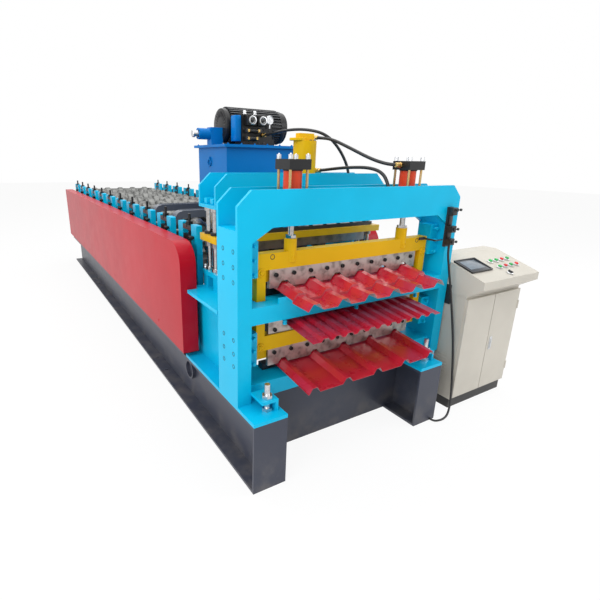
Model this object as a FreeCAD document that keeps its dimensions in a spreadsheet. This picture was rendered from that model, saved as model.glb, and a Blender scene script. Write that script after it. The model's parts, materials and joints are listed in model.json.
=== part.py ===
import FreeCAD, Part
import math
import os
import re
import Sketcher

# Roll forming machine for roofing sheet, with its cutter, press, hydraulic station and control cabinet.
# X runs across the line, Y from the cutter towards the infeed end, Z up.
# The origin is on the floor, in the middle of the base.
# In the expressions below, y is counted from the front of the feet.

SIZES = {
    # Base of two long beams on the floor
    "base_length": 6170,
    "base_width": 1590,
    "beam_width": 200,
    "beam_height": 400,
    "beam_flange": 16,
    "beam_web": 10,
    "foot_length": 270,
    "foot_width": 200,
    "foot_wall": 12,
    "right_foot_inset": 176,
    "bed_plate": 20,
    "bed_plate_length": 920,
    "front_channel_depth": 80,
    "cross_channel_height": 200,
    "cross_channel_rise": 100,
    "cross_channel_pitch": 1190,
    "anchor_hole_radius": 11,
    "anchor_edge": 45,
    "anchor_front": 1517,
    "anchor_step": 247,
    "lift_ring_radius": 70,
    "lift_ring_bore": 58,
    "lift_ring_reach": 25,
    "lift_ring_place": 1065,
    "lift_ring_axis": 222,
    "lug_plate": 16,
    "lug_height": 70,
    "lug_half": 48,
    "lug_reach": 35,
    "stud_radius": 15,
    # Cutter portal
    "portal_width": 1590,
    "portal_front": 174,
    "portal_depth": 226,
    "portal_plate": 20,
    "portal_top": 1530,
    "head_bottom": 1352,
    "post_face": 80,
    "post_top": 1345,
    "corner_wide": 76,
    "corner_tall": 72,
    "haunch_wide": 114,
    "haunch_tall": 68,
    "table_bottom": 865,
    "table_top": 956,
    "table_wall": 16,
    "guide_width": 66,
    "guide_gap": 6,
    "guide_height": 190,
    "guide_length": 100,
    "upper_guide_bottom": 1090,
    "lower_guide_bottom": 600,
    "guide_setback": 20,
    "die_beam_height": 90,
    "die_beam_front": 30,
    "die_beam_wall": 20,
    # Yellow cutter frame and what it carries
    "frame_front": 262,
    "frame_thick": 60,
    "frame_bar": 53,
    "frame_top": 1206,
    "frame_top_beam": 88,
    "frame_low_top": 750,
    "frame_low_beam": 85,
    "socket_radius": 34,
    "socket_top": 1272,
    "socket_drop": 30,
    "ram_offset": 420,
    "ram_depth": 113,
    "ram_rod_radius": 16,
    "blade_thick": 18,
    "blade_seat": 10,
    "blade_cover": 70,
    "low_blade_cover": 60,
    "top_blade_margin": 50,
    "middle_blade_margin": 75,
    "bottom_blade_margin": 62.5,
    # Cutter cylinders
    "cap_width": 130,
    "cap_depth": 130,
    "cap_height": 50,
    "cylinder_top": 1668,
    "cylinder_foot": 1400,
    "foot_cap_height": 40,
    "seat_plate": 20,
    "tube_radius": 48,
    "tube_bore": 40,
    "tie_rod_radius": 7,
    "tie_rod_pitch": 104,
    "tie_nut_height": 22,
    # Formed sheets in the cutter
    "sheet_thick": 1.5,
    "sheet_front": -10,
    "sheet_tail": 25,
    "low_sheet_reach": 20,
    "top_sheet_width": 1010,
    "top_sheet_height": 1000,
    "top_sheet_droop": 38,
    "tile_pitch": 183,
    "tile_rise": 34,
    "tile_step": 14,
    "middle_sheet_width": 960,
    "middle_sheet_height": 829,
    "middle_sheet_droop": 34,
    "corrugation_pitch": 80,
    "corrugation_rise": 16,
    "bottom_sheet_width": 985,
    "bottom_sheet_height": 548,
    "bottom_sheet_droop": 34,
    "rib_pitch": 232,
    "rib_rise": 30,
    "sheet_fit": 0.3,
    "blade_gap": 12,
    "comb_thick": 12,
    # Embossing press behind the cutter
    "press_width": 1320,
    "press_front": 700,
    "press_depth": 250,
    "press_plate_thick": 20,
    "press_head_bottom": 1385,
    "press_head_top": 1585,
    "press_bed_bottom": 885,
    "press_bed_thick": 27,
    "bed_block": 70,
    "press_bed_top": 992,
    "column_radius": 20,
    "column_offset": 620,
    "pedestal_wall": 20,
    "pedestal_width": 185,
    "pedestal_front": 410,
    "pedestal_web_inset": 105,
    "press_slide_bottom": 1180,
    "press_slide_thick": 42,
    "press_cap_thick": 26,
    "press_die_tall": 60,
    "column_fit": 0.3,
    "column_front": 790,
    "column_pitch": 92,
    "collar_radius": 30,
    "collar_height": 34,
    "slide_margin": 5,
    "ram_clearance": 5,
    "press_cylinder_offset": 40,
    "press_cylinder_radius": 75,
    "press_cylinder_height": 380,
    "press_rod_radius": 35,
    # Roll stands and rolls
    "station_count": 11,
    "first_station": 1120,
    "station_pitch": 487,
    "stand_offset": 660,
    "stand_thick": 40,
    "stand_width": 325,
    "stand_top": 1260,
    "stand_shoulder": 6,
    "slot_width": 150,
    "slot_bottom": 1040,
    "bearing_top": 1185,
    "yoke_bottom": 1218,
    "yoke_thick": 30,
    "screw_top": 1320,
    "screw_radius": 10,
    "nut_radius": 24,
    "nut_height": 24,
    "shaft_radius": 30,
    "shaft_reach": 700,
    "shaft_fit": 0.3,
    "roll_axis": 1115,
    "roll_radius": 72,
    "roll_length": 1080,
    "ring_count": 5,
    "ring_pitch": 205,
    "ring_width": 84,
    "ring_rise": 32,
    "lower_roll_axis": 935,
    "lower_roll_radius": 68,
    "second_deck_axis": 745,
    "second_deck_step": 150,
    "deck_roll_radius": 66,
    # Red side covers
    "cover_outer": 835,
    "cover_sheet": 6,
    "cover_lip": 105,
    "cover_front": 856,
    "cover_back": 6150,
    "cover_bottom": 457,
    "cover_top": 1175,
    "cover_corner": 145,
    "bracket_plate": 6,
    "bracket_width": 60,
    "bracket_lap": 20,
    # Hydraulic station
    "rail_height": 38,
    "hoop_bar": 50,
    "hoop_leg": 90,
    "hoop_corner": 55,
    "hoop_depth": 88,
    "tank_left": 205,
    "tank_width": 700,
    "tank_front": 1480,
    "tank_depth": 540,
    "tank_top": 1755,
    "tank_wall": 6,
    "tank_lid": 20,
    "tank_lid_edge": 30,
    "motor_radius": 125,
    "motor_length": 560,
    "motor_left": 125,
    "motor_foot": 25,
    "valve_height": 90,
    "valve_depth": 70,
    "motor_foot_start": 140,
    "motor_foot_length": 308,
    "motor_foot_half": 100,
    "pump_gap": 0.3,
    "pump_rise": 80,
    "manifold_width": 100,
    "manifold_height": 130,
    "pump_radius": 42,
    "pump_length": 120,
    "valve_block_width": 270,
    "valve_block_depth": 110,
    "valve_block_height": 130,
    # Control cabinet
    "cabinet_left": 808,
    "cabinet_width": 609,
    "cabinet_front": 30,
    "cabinet_depth": 320,
    "plinth_height": 70,
    "plinth_inset": 5,
    "cabinet_top": 830,
    "cabinet_wall": 4,
    "desk_overhang": 110,
    "desk_lip_bottom": 900,
    "desk_lip_top": 952,
    "desk_back_top": 1060,
    "desk_ridge": 100,
    "desk_side": 6,
    "door_thick": 18,
    "door_margin": 18,
    "door_inset": 5,
    "door_lap": 15,
    "door_gap": 6,
    "door_seat": 0.3,
    "hinge_radius": 6,
    "hinge_length": 60,
    "hinge_margin": 90,
    "screen_width": 215,
    "screen_tall": 150,
    "screen_proud": 8,
    "screen_margin": 12,
    "screen_rise": 110,
    "button_radius": 13,
    "button_height": 16,
    "button_margin": 320,
    "button_rise": 120,
    "button_pitch": 65,
    "button_row_pitch": 75,
    # Limit switches on the right post and their cable
    "switch_rail_width": 44,
    "switch_rail_thick": 14,
    "switch_rail_bottom": 1150,
    "switch_rail_top": 1400,
    "switch_size": 40,
    "switch_place": 705,
    "switch_margin": 15,
    "switch_step": 80,
    "cable_radius": 7,
    # Hydraulic hoses and the ports that they come out of
    "hose_radius": 10,
    "port_radius": 16,
    "port_reach": 95,
    "port_block_left": 60,
    "port_block_right": 55,
    "port_block_half": 22,
    "port_block_height": 45,
    "upper_port": 1602,
    "lower_port": 1450,
}

doc = FreeCAD.newDocument("roll_forming_machine")
sheet = doc.addObject("Spreadsheet::Sheet", "Sizes")
for row, (alias, size) in enumerate(SIZES.items(), 1):
    sheet.set(f"A{row}", alias)
    sheet.set(f"B{row}", str(size))
    sheet.setAlias(f"B{row}", alias)
doc.recompute()

ALIAS = re.compile(r"[a-z][a-z_]*[a-z]")
NODES = {}

# Places that several pieces share
DECK = "(beam_height + bed_plate)"
HALF = "(base_width / 2)"
POST_INNER = "(portal_width / 2 - post_face)"
PORTAL_BACK = "(portal_front + portal_depth)"
FRAME_BACK = "(frame_front + frame_thick)"
FRAME_OUT = "(portal_width / 2 - post_face - guide_width - 2 * guide_gap)"
RAM_Y = "(portal_front + ram_depth)"
PRESS_BACK = "(press_front + press_depth)"
LID_TOP = "(tank_top + tank_lid)"


def bound(text):
    """Turns size names into references to the sheet."""
    return ALIAS.sub(lambda word: "Sizes." + word.group() if word.group() in SIZES else word.group(), str(text))


def number(text):
    """Works an expression out as a plain number."""
    return float(sheet.evalExpression(bound(text)))


def bind(thing, **expressions):
    for name, text in expressions.items():
        thing.setExpression(name, bound(text))


def place(thing, x, y, z, turn=None):
    """Puts a piece at x, y, z, with y counted from the front of the feet."""
    if turn:
        thing.Placement = FreeCAD.Placement(FreeCAD.Vector(), turn)
    thing.setExpression("Placement.Base.x", bound(x))
    thing.setExpression("Placement.Base.y", bound(f"({y}) - base_length / 2"))
    thing.setExpression("Placement.Base.z", bound(z))
    return thing


def box(name, x, y, z):
    """A block between low and high values of x, y and z."""
    block = doc.addObject("Part::Box", name)
    spans = [f"({high}) - ({low})" for low, high in (x, y, z)]
    bind(block, Length=spans[0], Width=spans[1], Height=spans[2])
    return place(block, x[0], y[0], z[0])


TURNS = {
    "x": FreeCAD.Rotation(FreeCAD.Vector(0, 1, 0), 90),
    "y": FreeCAD.Rotation(FreeCAD.Vector(1, 0, 0), -90),
    "z": None,
}


def rod(name, radius, length, x, y, z, along="z"):
    """A round bar that starts at x, y, z and runs along one axis."""
    bar = doc.addObject("Part::Cylinder", name)
    bind(bar, Radius=radius, Height=length)
    return place(bar, x, y, z, TURNS[along])


def prism(name, sides, radius, length, x, y, z, along="z"):
    """A bar with a regular many-sided section."""
    bar = doc.addObject("Part::Prism", name)
    bar.Polygon = sides
    bind(bar, Circumradius=radius, Height=length)
    return place(bar, x, y, z, TURNS[along])


def fuse(name, pieces):
    union = doc.addObject("Part::MultiFuse", name)
    union.Shapes = pieces
    return union


def cut(name, base, tool):
    rest = doc.addObject("Part::Cut", name)
    rest.Base = base
    rest.Tool = tool
    return rest


def group(name, pieces):
    """Pieces of one kind that don't touch each other."""
    bundle = doc.addObject("Part::Compound", name)
    bundle.Links = pieces
    return bundle


def node(thing, name):
    """Names a sub-part and keeps it for the files."""
    thing.Label = name
    NODES[name] = thing
    return thing


def origin_plane(body, role):
    return [item for item in body.Origin.OriginFeatures if item.Role == role][0]


def draw(body, name, plane, points):
    """A closed sketch of straight lines whose corners are bound to the sheet."""
    sketch = body.newObject("Sketcher::SketchObject", name)
    sketch.AttachmentSupport = [(origin_plane(body, plane + "_Plane"), "")]
    sketch.MapMode = "FlatFace"
    corners = [FreeCAD.Vector(number(across), number(up), 0) for across, up in points]
    for index, corner in enumerate(corners):
        sketch.addGeometry(Part.LineSegment(corner, corners[(index + 1) % len(corners)]))
    for index in range(len(points)):
        sketch.addConstraint(Sketcher.Constraint("Coincident", index, 2, (index + 1) % len(points), 1))
    for index, (pair, corner) in enumerate(zip(points, corners)):
        for letter, kind, text, value in zip("ab", ("DistanceX", "DistanceY"), pair, corner):
            spot = sketch.addConstraint(Sketcher.Constraint(kind, -1, 1, index, 1, value))
            sketch.renameConstraint(spot, f"{letter}{index}")
            sketch.setExpression(f"Constraints.{letter}{index}", bound(text))
    return sketch


FRONT = "-base_length / 2"


def along(points):
    """Counts the first number of each point from the middle of the base, as y."""
    return [(f"({y}) - base_length / 2", z) for y, z in points]


def outline(name, plane, points, low, high):
    """A plate with a drawn outline, from low to high across it."""
    body = doc.addObject("PartDesign::Body", name)
    if plane == "YZ":
        points = along(points)
    if plane == "XY":
        points = [(x, f"({y}) - base_length / 2") for x, y in points]
    sketch = draw(body, name + "_outline", plane, points)
    pad = body.newObject("PartDesign::Pad", name + "_pad")
    pad.Profile = sketch
    bind(pad, Length=f"({high}) - ({low})")
    pad.Reversed = plane == "XZ"
    if plane == "XZ":
        place(body, "0", low, "0")
    else:
        axis = {"YZ": "Placement.Base.x", "XY": "Placement.Base.z"}[plane]
        body.setExpression(axis, bound(low))
    return body


def round_corners(body, name, spots, radius):
    """Rounds the edges of a body's last feature that pass through spots, each an axis pair and its two values."""
    doc.recompute()
    last = body.Tip
    edges = [f"Edge{index}" for index, edge in enumerate(last.Shape.Edges, 1)
             for axes, first, second in spots
             if all(abs(getattr(v, axes[0]) - first) < 1e-3 and abs(getattr(v, axes[1]) - second) < 1e-3
                    for v in edge.Vertexes)]
    fillet = body.newObject("PartDesign::Fillet", name + "_corner")
    fillet.Base = (last, edges)
    bind(fillet, Radius=radius)
    body.Tip = fillet
    return body


def solid(name, shape):
    """A piece whose surface is worked out here from the sizes."""
    feature = doc.addObject("Part::Feature", name)
    feature.Shape = shape
    feature.Placement = FreeCAD.Placement(FreeCAD.Vector(0, number(FRONT), 0), FreeCAD.Rotation())
    return feature


def mirrored_pair(low, high):
    """The left and right spans of a piece that lies at low to high from the centre line."""
    return [(f"-({high})", f"-({low})"), (low, high)]


def beam_section(name, across, span, middle):
    """The plates of a welded H-beam: two flanges and the web between them."""
    return [box(name + "_bottom", across, span, ("0", "beam_flange")),
            box(name + "_web", (f"{middle} - beam_web / 2", f"{middle} + beam_web / 2"), span,
                ("beam_flange", "beam_height - beam_flange")),
            box(name + "_top", across, span, ("beam_height - beam_flange", "beam_height"))]


def base():
    beams = []
    for side, sign, across in zip(("left", "right"), (-1, 1), mirrored_pair(f"{HALF} - beam_width", HALF)):
        name = f"beam_{side}"
        middle = f"{sign} * ({HALF} - beam_width / 2)"
        bottom, web, top = beam_section(name, across, ("foot_length", "base_length"), middle)
        holes = []
        for place_name, y in (("first", "anchor_front"), ("second", "anchor_front + anchor_step"),
                              ("third", "base_length - anchor_front - anchor_step"),
                              ("fourth", "base_length - anchor_front")):
            holes.append(rod(f"{name}_{place_name}_hole", "anchor_hole_radius", "2 * beam_flange",
                             f"{sign} * ({HALF} - anchor_edge)", y, "-beam_flange / 2"))
        face = f"{HALF} - beam_width / 2 + beam_web / 2"
        start = face if sign > 0 else f"-({face} + lift_ring_reach)"
        ring = cut(name + "_lift_ring",
                   rod(name + "_ring", "lift_ring_radius", "lift_ring_reach", start, "lift_ring_place",
                       "lift_ring_axis", "x"),
                   rod(name + "_ring_bore", "lift_ring_bore", "lift_ring_reach", start, "lift_ring_place",
                       "lift_ring_axis", "x"))
        beams += [cut(name + "_sole", bottom, group(name + "_holes", holes)), web, top, ring]
    node(group("base_beams", beams), "base_beams")

    inner = f"{HALF} - beam_width"
    channels = []
    front = [("foot_length", "0"), ("foot_length + front_channel_depth", "0"),
             ("foot_length + front_channel_depth", "beam_web"), ("foot_length + beam_web", "beam_web"),
             ("foot_length + beam_web", "beam_height - beam_web"),
             ("foot_length + front_channel_depth", "beam_height - beam_web"),
             ("foot_length + front_channel_depth", "beam_height"), ("foot_length", "beam_height")]
    channels.append(outline("front_channel", "YZ", front, f"-({inner})", inner))
    for index in range(1, 5):
        y = f"foot_length + {index} * cross_channel_pitch"
        low, high = "cross_channel_rise", "cross_channel_rise + cross_channel_height"
        profile = [(y, low), (f"{y} + front_channel_depth", low), (f"{y} + front_channel_depth", f"{low} + beam_web"),
                   (f"{y} + beam_web", f"{low} + beam_web"), (f"{y} + beam_web", f"{high} - beam_web"),
                   (f"{y} + front_channel_depth", f"{high} - beam_web"),
                   (f"{y} + front_channel_depth", high), (y, high)]
        channels.append(outline(f"channel_{index}", "YZ", profile, f"-({HALF} - beam_width / 2 - beam_web / 2)",
                                f"{HALF} - beam_width / 2 - beam_web / 2"))
    node(group("cross_channels", channels), "cross_channels")

    feet = []
    left = (f"-{HALF}", f"(-{HALF} + foot_width)")
    right = (f"({HALF} - right_foot_inset - foot_width)", f"({HALF} - right_foot_inset)")
    for side, (low, high) in (("left", left), ("right", right)):
        feet.append(box(f"foot_{side}_front", (low, high), ("0", "foot_wall"), ("0", "beam_height")))
        feet += beam_section(f"foot_{side}", (low, high), ("foot_wall", "foot_length"), f"({low} + foot_width / 2)")
    node(group("front_feet", feet), "front_feet")

    lugs, studs = {}, []
    for side, low, high in (("left", *left), ("right", *right)):
        x, y = f"({high} - foot_width / 4 - 2 * foot_wall)", "portal_front / 2"
        bed = box(f"bed_plate_{side}_front", (low, high), ("0", "portal_front"), ("beam_height", DECK))
        plate = box(f"lug_{side}_plate", (f"{x} - lug_half", f"{x} + lug_half"), (f"{y} - lug_reach", "portal_front"),
                    (f"{DECK} + lug_height - lug_plate", f"{DECK} + lug_height"))
        web = box(f"lug_{side}_web", (f"{x} + lug_half - lug_plate", f"{x} + lug_half"),
                  (f"{y} - lug_reach", "portal_front"), (f"{DECK} - bed_plate / 2", f"{DECK} + lug_height - lug_plate / 2"))
        hole = prism(f"lug_{side}_hole", 12, "1.05 * stud_radius + sheet_fit", "3 * lug_plate", x, y,
                     f"{DECK} + lug_height - 2 * lug_plate")
        lugs[side] = cut(f"lug_{side}", fuse(f"lug_{side}_bracket", [bed, plate, web]), hole)
        screw = prism(f"stud_{side}_bar", 12, "stud_radius", "lug_height + 5 * lug_plate", x, y, DECK)
        nut = prism(f"stud_{side}_nut", 6, "1.9 * stud_radius", "1.4 * stud_radius", x, y, f"{DECK} + lug_height")
        foot = prism(f"stud_{side}_foot", 6, "1.9 * stud_radius", "1.2 * stud_radius", x, y, DECK)
        studs.append(fuse(f"stud_{side}", [screw, nut, foot]))
    plates = [lugs["left"], lugs["right"],
              box("bed_plate_left", left, ("portal_front", "bed_plate_length"), ("beam_height", DECK)),
              box("bed_plate_right_inner", (right[0], f"({HALF} - beam_width)"), ("portal_front", "foot_length"),
                  ("beam_height", DECK)),
              box("bed_plate_right", (f"{HALF} - beam_width", HALF), ("portal_front", "bed_plate_length"),
                  ("beam_height", DECK))]
    node(group("bed_plates", plates), "bed_plates")
    node(group("levelling_studs", studs), "levelling_studs")


def cutter_portal():
    posts = []
    for side, (low, high) in zip(("left", "right"), mirrored_pair(POST_INNER, "portal_width / 2")):
        tube = box(f"post_{side}_tube", (low, high), ("portal_front", PORTAL_BACK), (DECK, "post_top"))
        room = box(f"post_{side}_room", (f"{low} + portal_plate", f"{high} - portal_plate"),
                   ("portal_front + portal_plate", f"{PORTAL_BACK} - portal_plate"),
                   (f"{DECK} - portal_plate", "post_top - portal_plate"))
        posts.append(cut(f"post_{side}", tube, room))
    node(group("cutter_posts", posts), "cutter_posts")

    half = "portal_width / 2"
    head = [(f"-{half}", "post_top"), (f"-{half}", "portal_top - corner_tall"),
            (f"-{half} + corner_wide", "portal_top"), (f"{half} - corner_wide", "portal_top"),
            (half, "portal_top - corner_tall"), (half, "post_top"), (POST_INNER, "post_top"),
            (POST_INNER, "head_bottom - haunch_tall"), (f"{POST_INNER} - haunch_wide", "head_bottom"),
            (f"-({POST_INNER} - haunch_wide)", "head_bottom"), (f"-{POST_INNER}", "head_bottom - haunch_tall"),
            (f"-{POST_INNER}", "post_top")]
    plates = [outline("head_front", "XZ", head, "portal_front", "portal_front + portal_plate"),
              outline("head_rear", "XZ", head, f"{PORTAL_BACK} - portal_plate", PORTAL_BACK)]
    seats = []
    for side, sign in (("left", -1), ("right", 1)):
        x = f"{sign} * ram_offset"
        seat = box(f"seat_{side}_plate", (f"{x} - cap_width / 2 - seat_plate", f"{x} + cap_width / 2 + seat_plate"),
                   ("portal_front + portal_plate / 2", f"{PORTAL_BACK} - portal_plate / 2"),
                   ("cylinder_foot - seat_plate", "cylinder_foot"))
        seats.append(cut(f"seat_{side}", seat, rod(f"seat_{side}_hole", "ram_rod_radius + shaft_fit", "2 * seat_plate", x,
                                                   RAM_Y, "cylinder_foot - 1.5 * seat_plate")))
    node(fuse("cutter_head", plates + seats), "cutter_head")

    inner = POST_INNER
    table = box("table_beam", (f"-{inner}", inner), ("portal_front", PORTAL_BACK), ("table_bottom", "table_top"))
    hollow = box("table_hollow", (f"-{inner} + table_wall", f"{inner} - table_wall"),
                 ("portal_front + table_wall", f"{PORTAL_BACK} + table_wall"),
                 ("table_bottom - table_wall", "table_top - table_wall"))
    slots = []
    for side, (low, high) in zip(("left", "right"), mirrored_pair(f"{FRAME_OUT} - frame_bar", FRAME_OUT)):
        slots.append(box(f"table_slot_{side}", (f"{low} - guide_gap", f"{high} + guide_gap"),
                         ("frame_front - guide_gap", f"{FRAME_BACK} + guide_gap"),
                         ("table_bottom - table_wall", "table_top + table_wall")))
    tables = [cut("upper_table", table, group("table_cuts", [hollow] + slots))]

    blocks = []
    guide_face = f"({FRAME_OUT} + guide_gap)"
    for level, bottom in (("upper", "upper_guide_bottom"), ("lower", "lower_guide_bottom")):
        for side, (low, high) in zip(("left", "right"), mirrored_pair(guide_face, POST_INNER)):
            blocks.append(box(f"guide_{level}_{side}", (low, high), ("frame_front - guide_setback", "frame_front - guide_setback + guide_length"),
                              (bottom, f"{bottom} + guide_height")))
    node(group("guide_blocks", blocks), "guide_blocks")

    shelf = box("die_beam_web", (f"-{inner}", inner), ("portal_front + die_beam_front", "portal_front + die_beam_front + die_beam_wall"),
                (DECK, f"{DECK} + die_beam_height"))
    ledge = box("die_beam_ledge", (f"-{inner}", inner), ("portal_front + die_beam_front", PORTAL_BACK),
                (f"{DECK} + die_beam_height - die_beam_wall", f"{DECK} + die_beam_height"))
    bend, front = SIZES["frame_front"], SIZES["portal_front"]
    slope = SIZES["top_sheet_droop"] / (bend - SIZES["sheet_front"])
    comb_top = SIZES["top_sheet_height"] - slope * (bend - front) - SIZES["sheet_fit"]
    comb = solid("table_comb", profiled_plate(tile_line(), "top_blade_margin", SIZES["table_top"], comb_top,
                                              front, front + SIZES["comb_thick"]))
    node(group("cutter_tables", tables + [fuse("lower_table", [shelf, ledge]), comb]), "cutter_tables")


def cutter_frame():
    back = f"{FRAME_BACK}"
    y = ("frame_front", back)
    top = box("frame_top_beam_body", (f"-{FRAME_OUT}", FRAME_OUT), y, ("frame_top - frame_top_beam", "frame_top"))
    backing = box("frame_backing", (f"-{FRAME_OUT}", FRAME_OUT), ("frame_front + blade_thick + blade_seat", back),
                  ("frame_top - frame_top_beam - blade_cover", "frame_top - frame_top_beam / 2"))
    low = box("frame_low_beam_body", (f"-{FRAME_OUT}", FRAME_OUT), y, ("frame_low_top - frame_low_beam", "frame_low_top"))
    low_backing = box("frame_low_backing", (f"-{FRAME_OUT}", FRAME_OUT), ("frame_front + blade_thick + blade_seat", back),
                      ("frame_low_top - frame_low_beam - low_blade_cover", "frame_low_top - frame_low_beam / 2"))
    parts = [top, backing, low, low_backing]
    for side, (left, right) in zip(("left", "right"), mirrored_pair(f"{FRAME_OUT} - frame_bar", FRAME_OUT)):
        parts.append(box(f"frame_bar_{side}", (left, right), y, ("frame_low_top - frame_low_beam / 2",
                                                                "frame_top - frame_top_beam / 2")))
    for side, sign in (("left", "-"), ("right", "")):
        parts.append(rod(f"socket_{side}", "socket_radius", "socket_top - frame_top + frame_top_beam - socket_drop",
                         f"{sign}ram_offset", RAM_Y, "frame_top - frame_top_beam + socket_drop"))
    node(fuse("cutter_frame", parts), "cutter_frame")

    rods = []
    for side, sign in (("left", "-"), ("right", "")):
        bar = rod(f"ram_rod_{side}", "ram_rod_radius", "cylinder_foot + foot_cap_height + seat_plate - socket_top",
                  f"{sign}ram_offset", RAM_Y, "socket_top")
        nut = prism(f"ram_nut_{side}", 6, "0.9 * socket_radius", "ram_rod_radius", f"{sign}ram_offset", RAM_Y,
                    "socket_top")
        rods.append(fuse(f"ram_{side}", [bar, nut]))
    node(group("cutter_rods", rods), "cutter_rods")


def wave(count, pitch, rise, crest, foot, width):
    """Corners of a ribbed line across the sheet: flat pans with ribs that rise from them."""
    points = [(-width / 2, 0.0)]
    for index in range(count):
        middle = (index - (count - 1) / 2) * pitch
        points += [(middle - foot / 2, 0.0), (middle - crest / 2, rise),
                   (middle + crest / 2, rise), (middle + foot / 2, 0.0)]
    points.append((width / 2, 0.0))
    return points


def ribbed_sheet(points, edge, thick):
    """A thin sheet: its section across is points (x, z), and edge gives its (y, z) line from front to back."""
    upper = []
    for index, (y, z) in enumerate(edge):
        neighbours = edge[max(index - 1, 0):index] + edge[index + 1:index + 2]
        stepped = any(other[0] == y for other in neighbours)
        upper.append((y - thick if stepped else y, z + thick))
    loop = list(edge) + upper[::-1]

    def spot(station, corner):
        return FreeCAD.Vector(station[0], corner[0], corner[1] + station[1])

    faces = []
    for station in (points[0], points[-1]):
        ring = [spot(station, corner) for corner in loop]
        faces.append(Part.Face(Part.makePolygon(ring + ring[:1])))
    for one, other in zip(points, points[1:]):
        for index, corner in enumerate(loop):
            after = loop[(index + 1) % len(loop)]
            ring = [spot(one, corner), spot(other, corner), spot(other, after), spot(one, after)]
            faces.append(Part.Face(Part.makePolygon(ring + ring[:1])))
    skin = Part.makeShell(faces)
    skin.sewShape()
    whole = Part.makeSolid(skin)
    return whole if whole.Volume > 0 else whole.reversed()


def tile_line():
    return wave(6, SIZES["tile_pitch"], SIZES["tile_rise"], 0.2 * SIZES["tile_pitch"],
                0.5 * SIZES["tile_pitch"], SIZES["top_sheet_width"])


def corrugated_line():
    return wave(11, SIZES["corrugation_pitch"], SIZES["corrugation_rise"], 0.35 * SIZES["corrugation_pitch"],
                0.75 * SIZES["corrugation_pitch"], SIZES["middle_sheet_width"])


def rib_line():
    return wave(5, SIZES["rib_pitch"] * 0.97, SIZES["rib_rise"], 0.12 * SIZES["rib_pitch"],
                0.3 * SIZES["rib_pitch"], SIZES["bottom_sheet_width"])


def sheets():
    thick, front, bend = SIZES["sheet_thick"], SIZES["sheet_front"], SIZES["frame_front"]
    back = number(f"{PORTAL_BACK} - sheet_tail")
    middle = (front + bend) / 2
    level, droop, step = SIZES["top_sheet_height"], SIZES["top_sheet_droop"], SIZES["tile_step"]
    edge = [(front, level - droop), (middle, level - droop / 2 - step), (middle, level - droop / 2),
            (bend, level), (back, level)]
    node(solid("sheet_top", ribbed_sheet(tile_line(), edge, thick)), "sheet_top")
    for name, line in (("middle_sheet", corrugated_line()), ("bottom_sheet", rib_line())):
        level, droop = SIZES[f"{name}_height"], SIZES[f"{name}_droop"]
        edge = [(front - SIZES["low_sheet_reach"], level - droop), (bend, level), (back, level)]
        label = "sheet_" + name.split("_")[0]
        node(solid(label, ribbed_sheet(line, edge, thick)), label)


def profiled_plate(points, margin, flat, lift, y_low, y_high):
    """A plate whose one edge follows a sheet's section at height lift, and whose other edge is flat."""
    half = points[-1][0] + SIZES[margin]
    edge = [FreeCAD.Vector(x, y_low, lift + z) for x, z in points]
    ends = [FreeCAD.Vector(half, y_low, lift), FreeCAD.Vector(half, y_low, flat),
            FreeCAD.Vector(-half, y_low, flat), FreeCAD.Vector(-half, y_low, lift)]
    face = Part.Face(Part.makePolygon(edge + ends + edge[:1]))
    return face.extrude(FreeCAD.Vector(0, y_high - y_low, 0))


def blades():
    fit, over = SIZES["sheet_fit"], SIZES["sheet_thick"] + SIZES["blade_gap"]
    front = number("frame_front + blade_seat")
    rear = front + SIZES["blade_thick"]
    levels = [SIZES[f"{name}_sheet_height"] for name in ("top", "middle", "bottom")]
    upper = profiled_plate(tile_line(), "top_blade_margin", number("frame_top - frame_top_beam"),
                           levels[0] + over, front, rear)
    toothed = profiled_plate(corrugated_line(), "middle_blade_margin", SIZES["frame_low_top"],
                             levels[1] - fit, front, rear)
    lower = profiled_plate(rib_line(), "bottom_blade_margin", number("frame_low_top - frame_low_beam"),
                           levels[2] + over, front, rear)
    node(solid("shear_blades", Part.Compound([upper, toothed, lower])), "shear_blades")
    front, rear = number(f"{FRAME_BACK} + guide_gap"), number(f"{PORTAL_BACK} - sheet_tail")
    upper_die = profiled_plate(tile_line(), "top_blade_margin", SIZES["table_top"], levels[0] - fit, front, rear)
    lower_die = profiled_plate(rib_line(), "bottom_blade_margin", number(f"{DECK} + die_beam_height"),
                               levels[2] - fit, front, rear)
    node(solid("shear_dies", Part.Compound([upper_die, lower_die])), "shear_dies")


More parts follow.
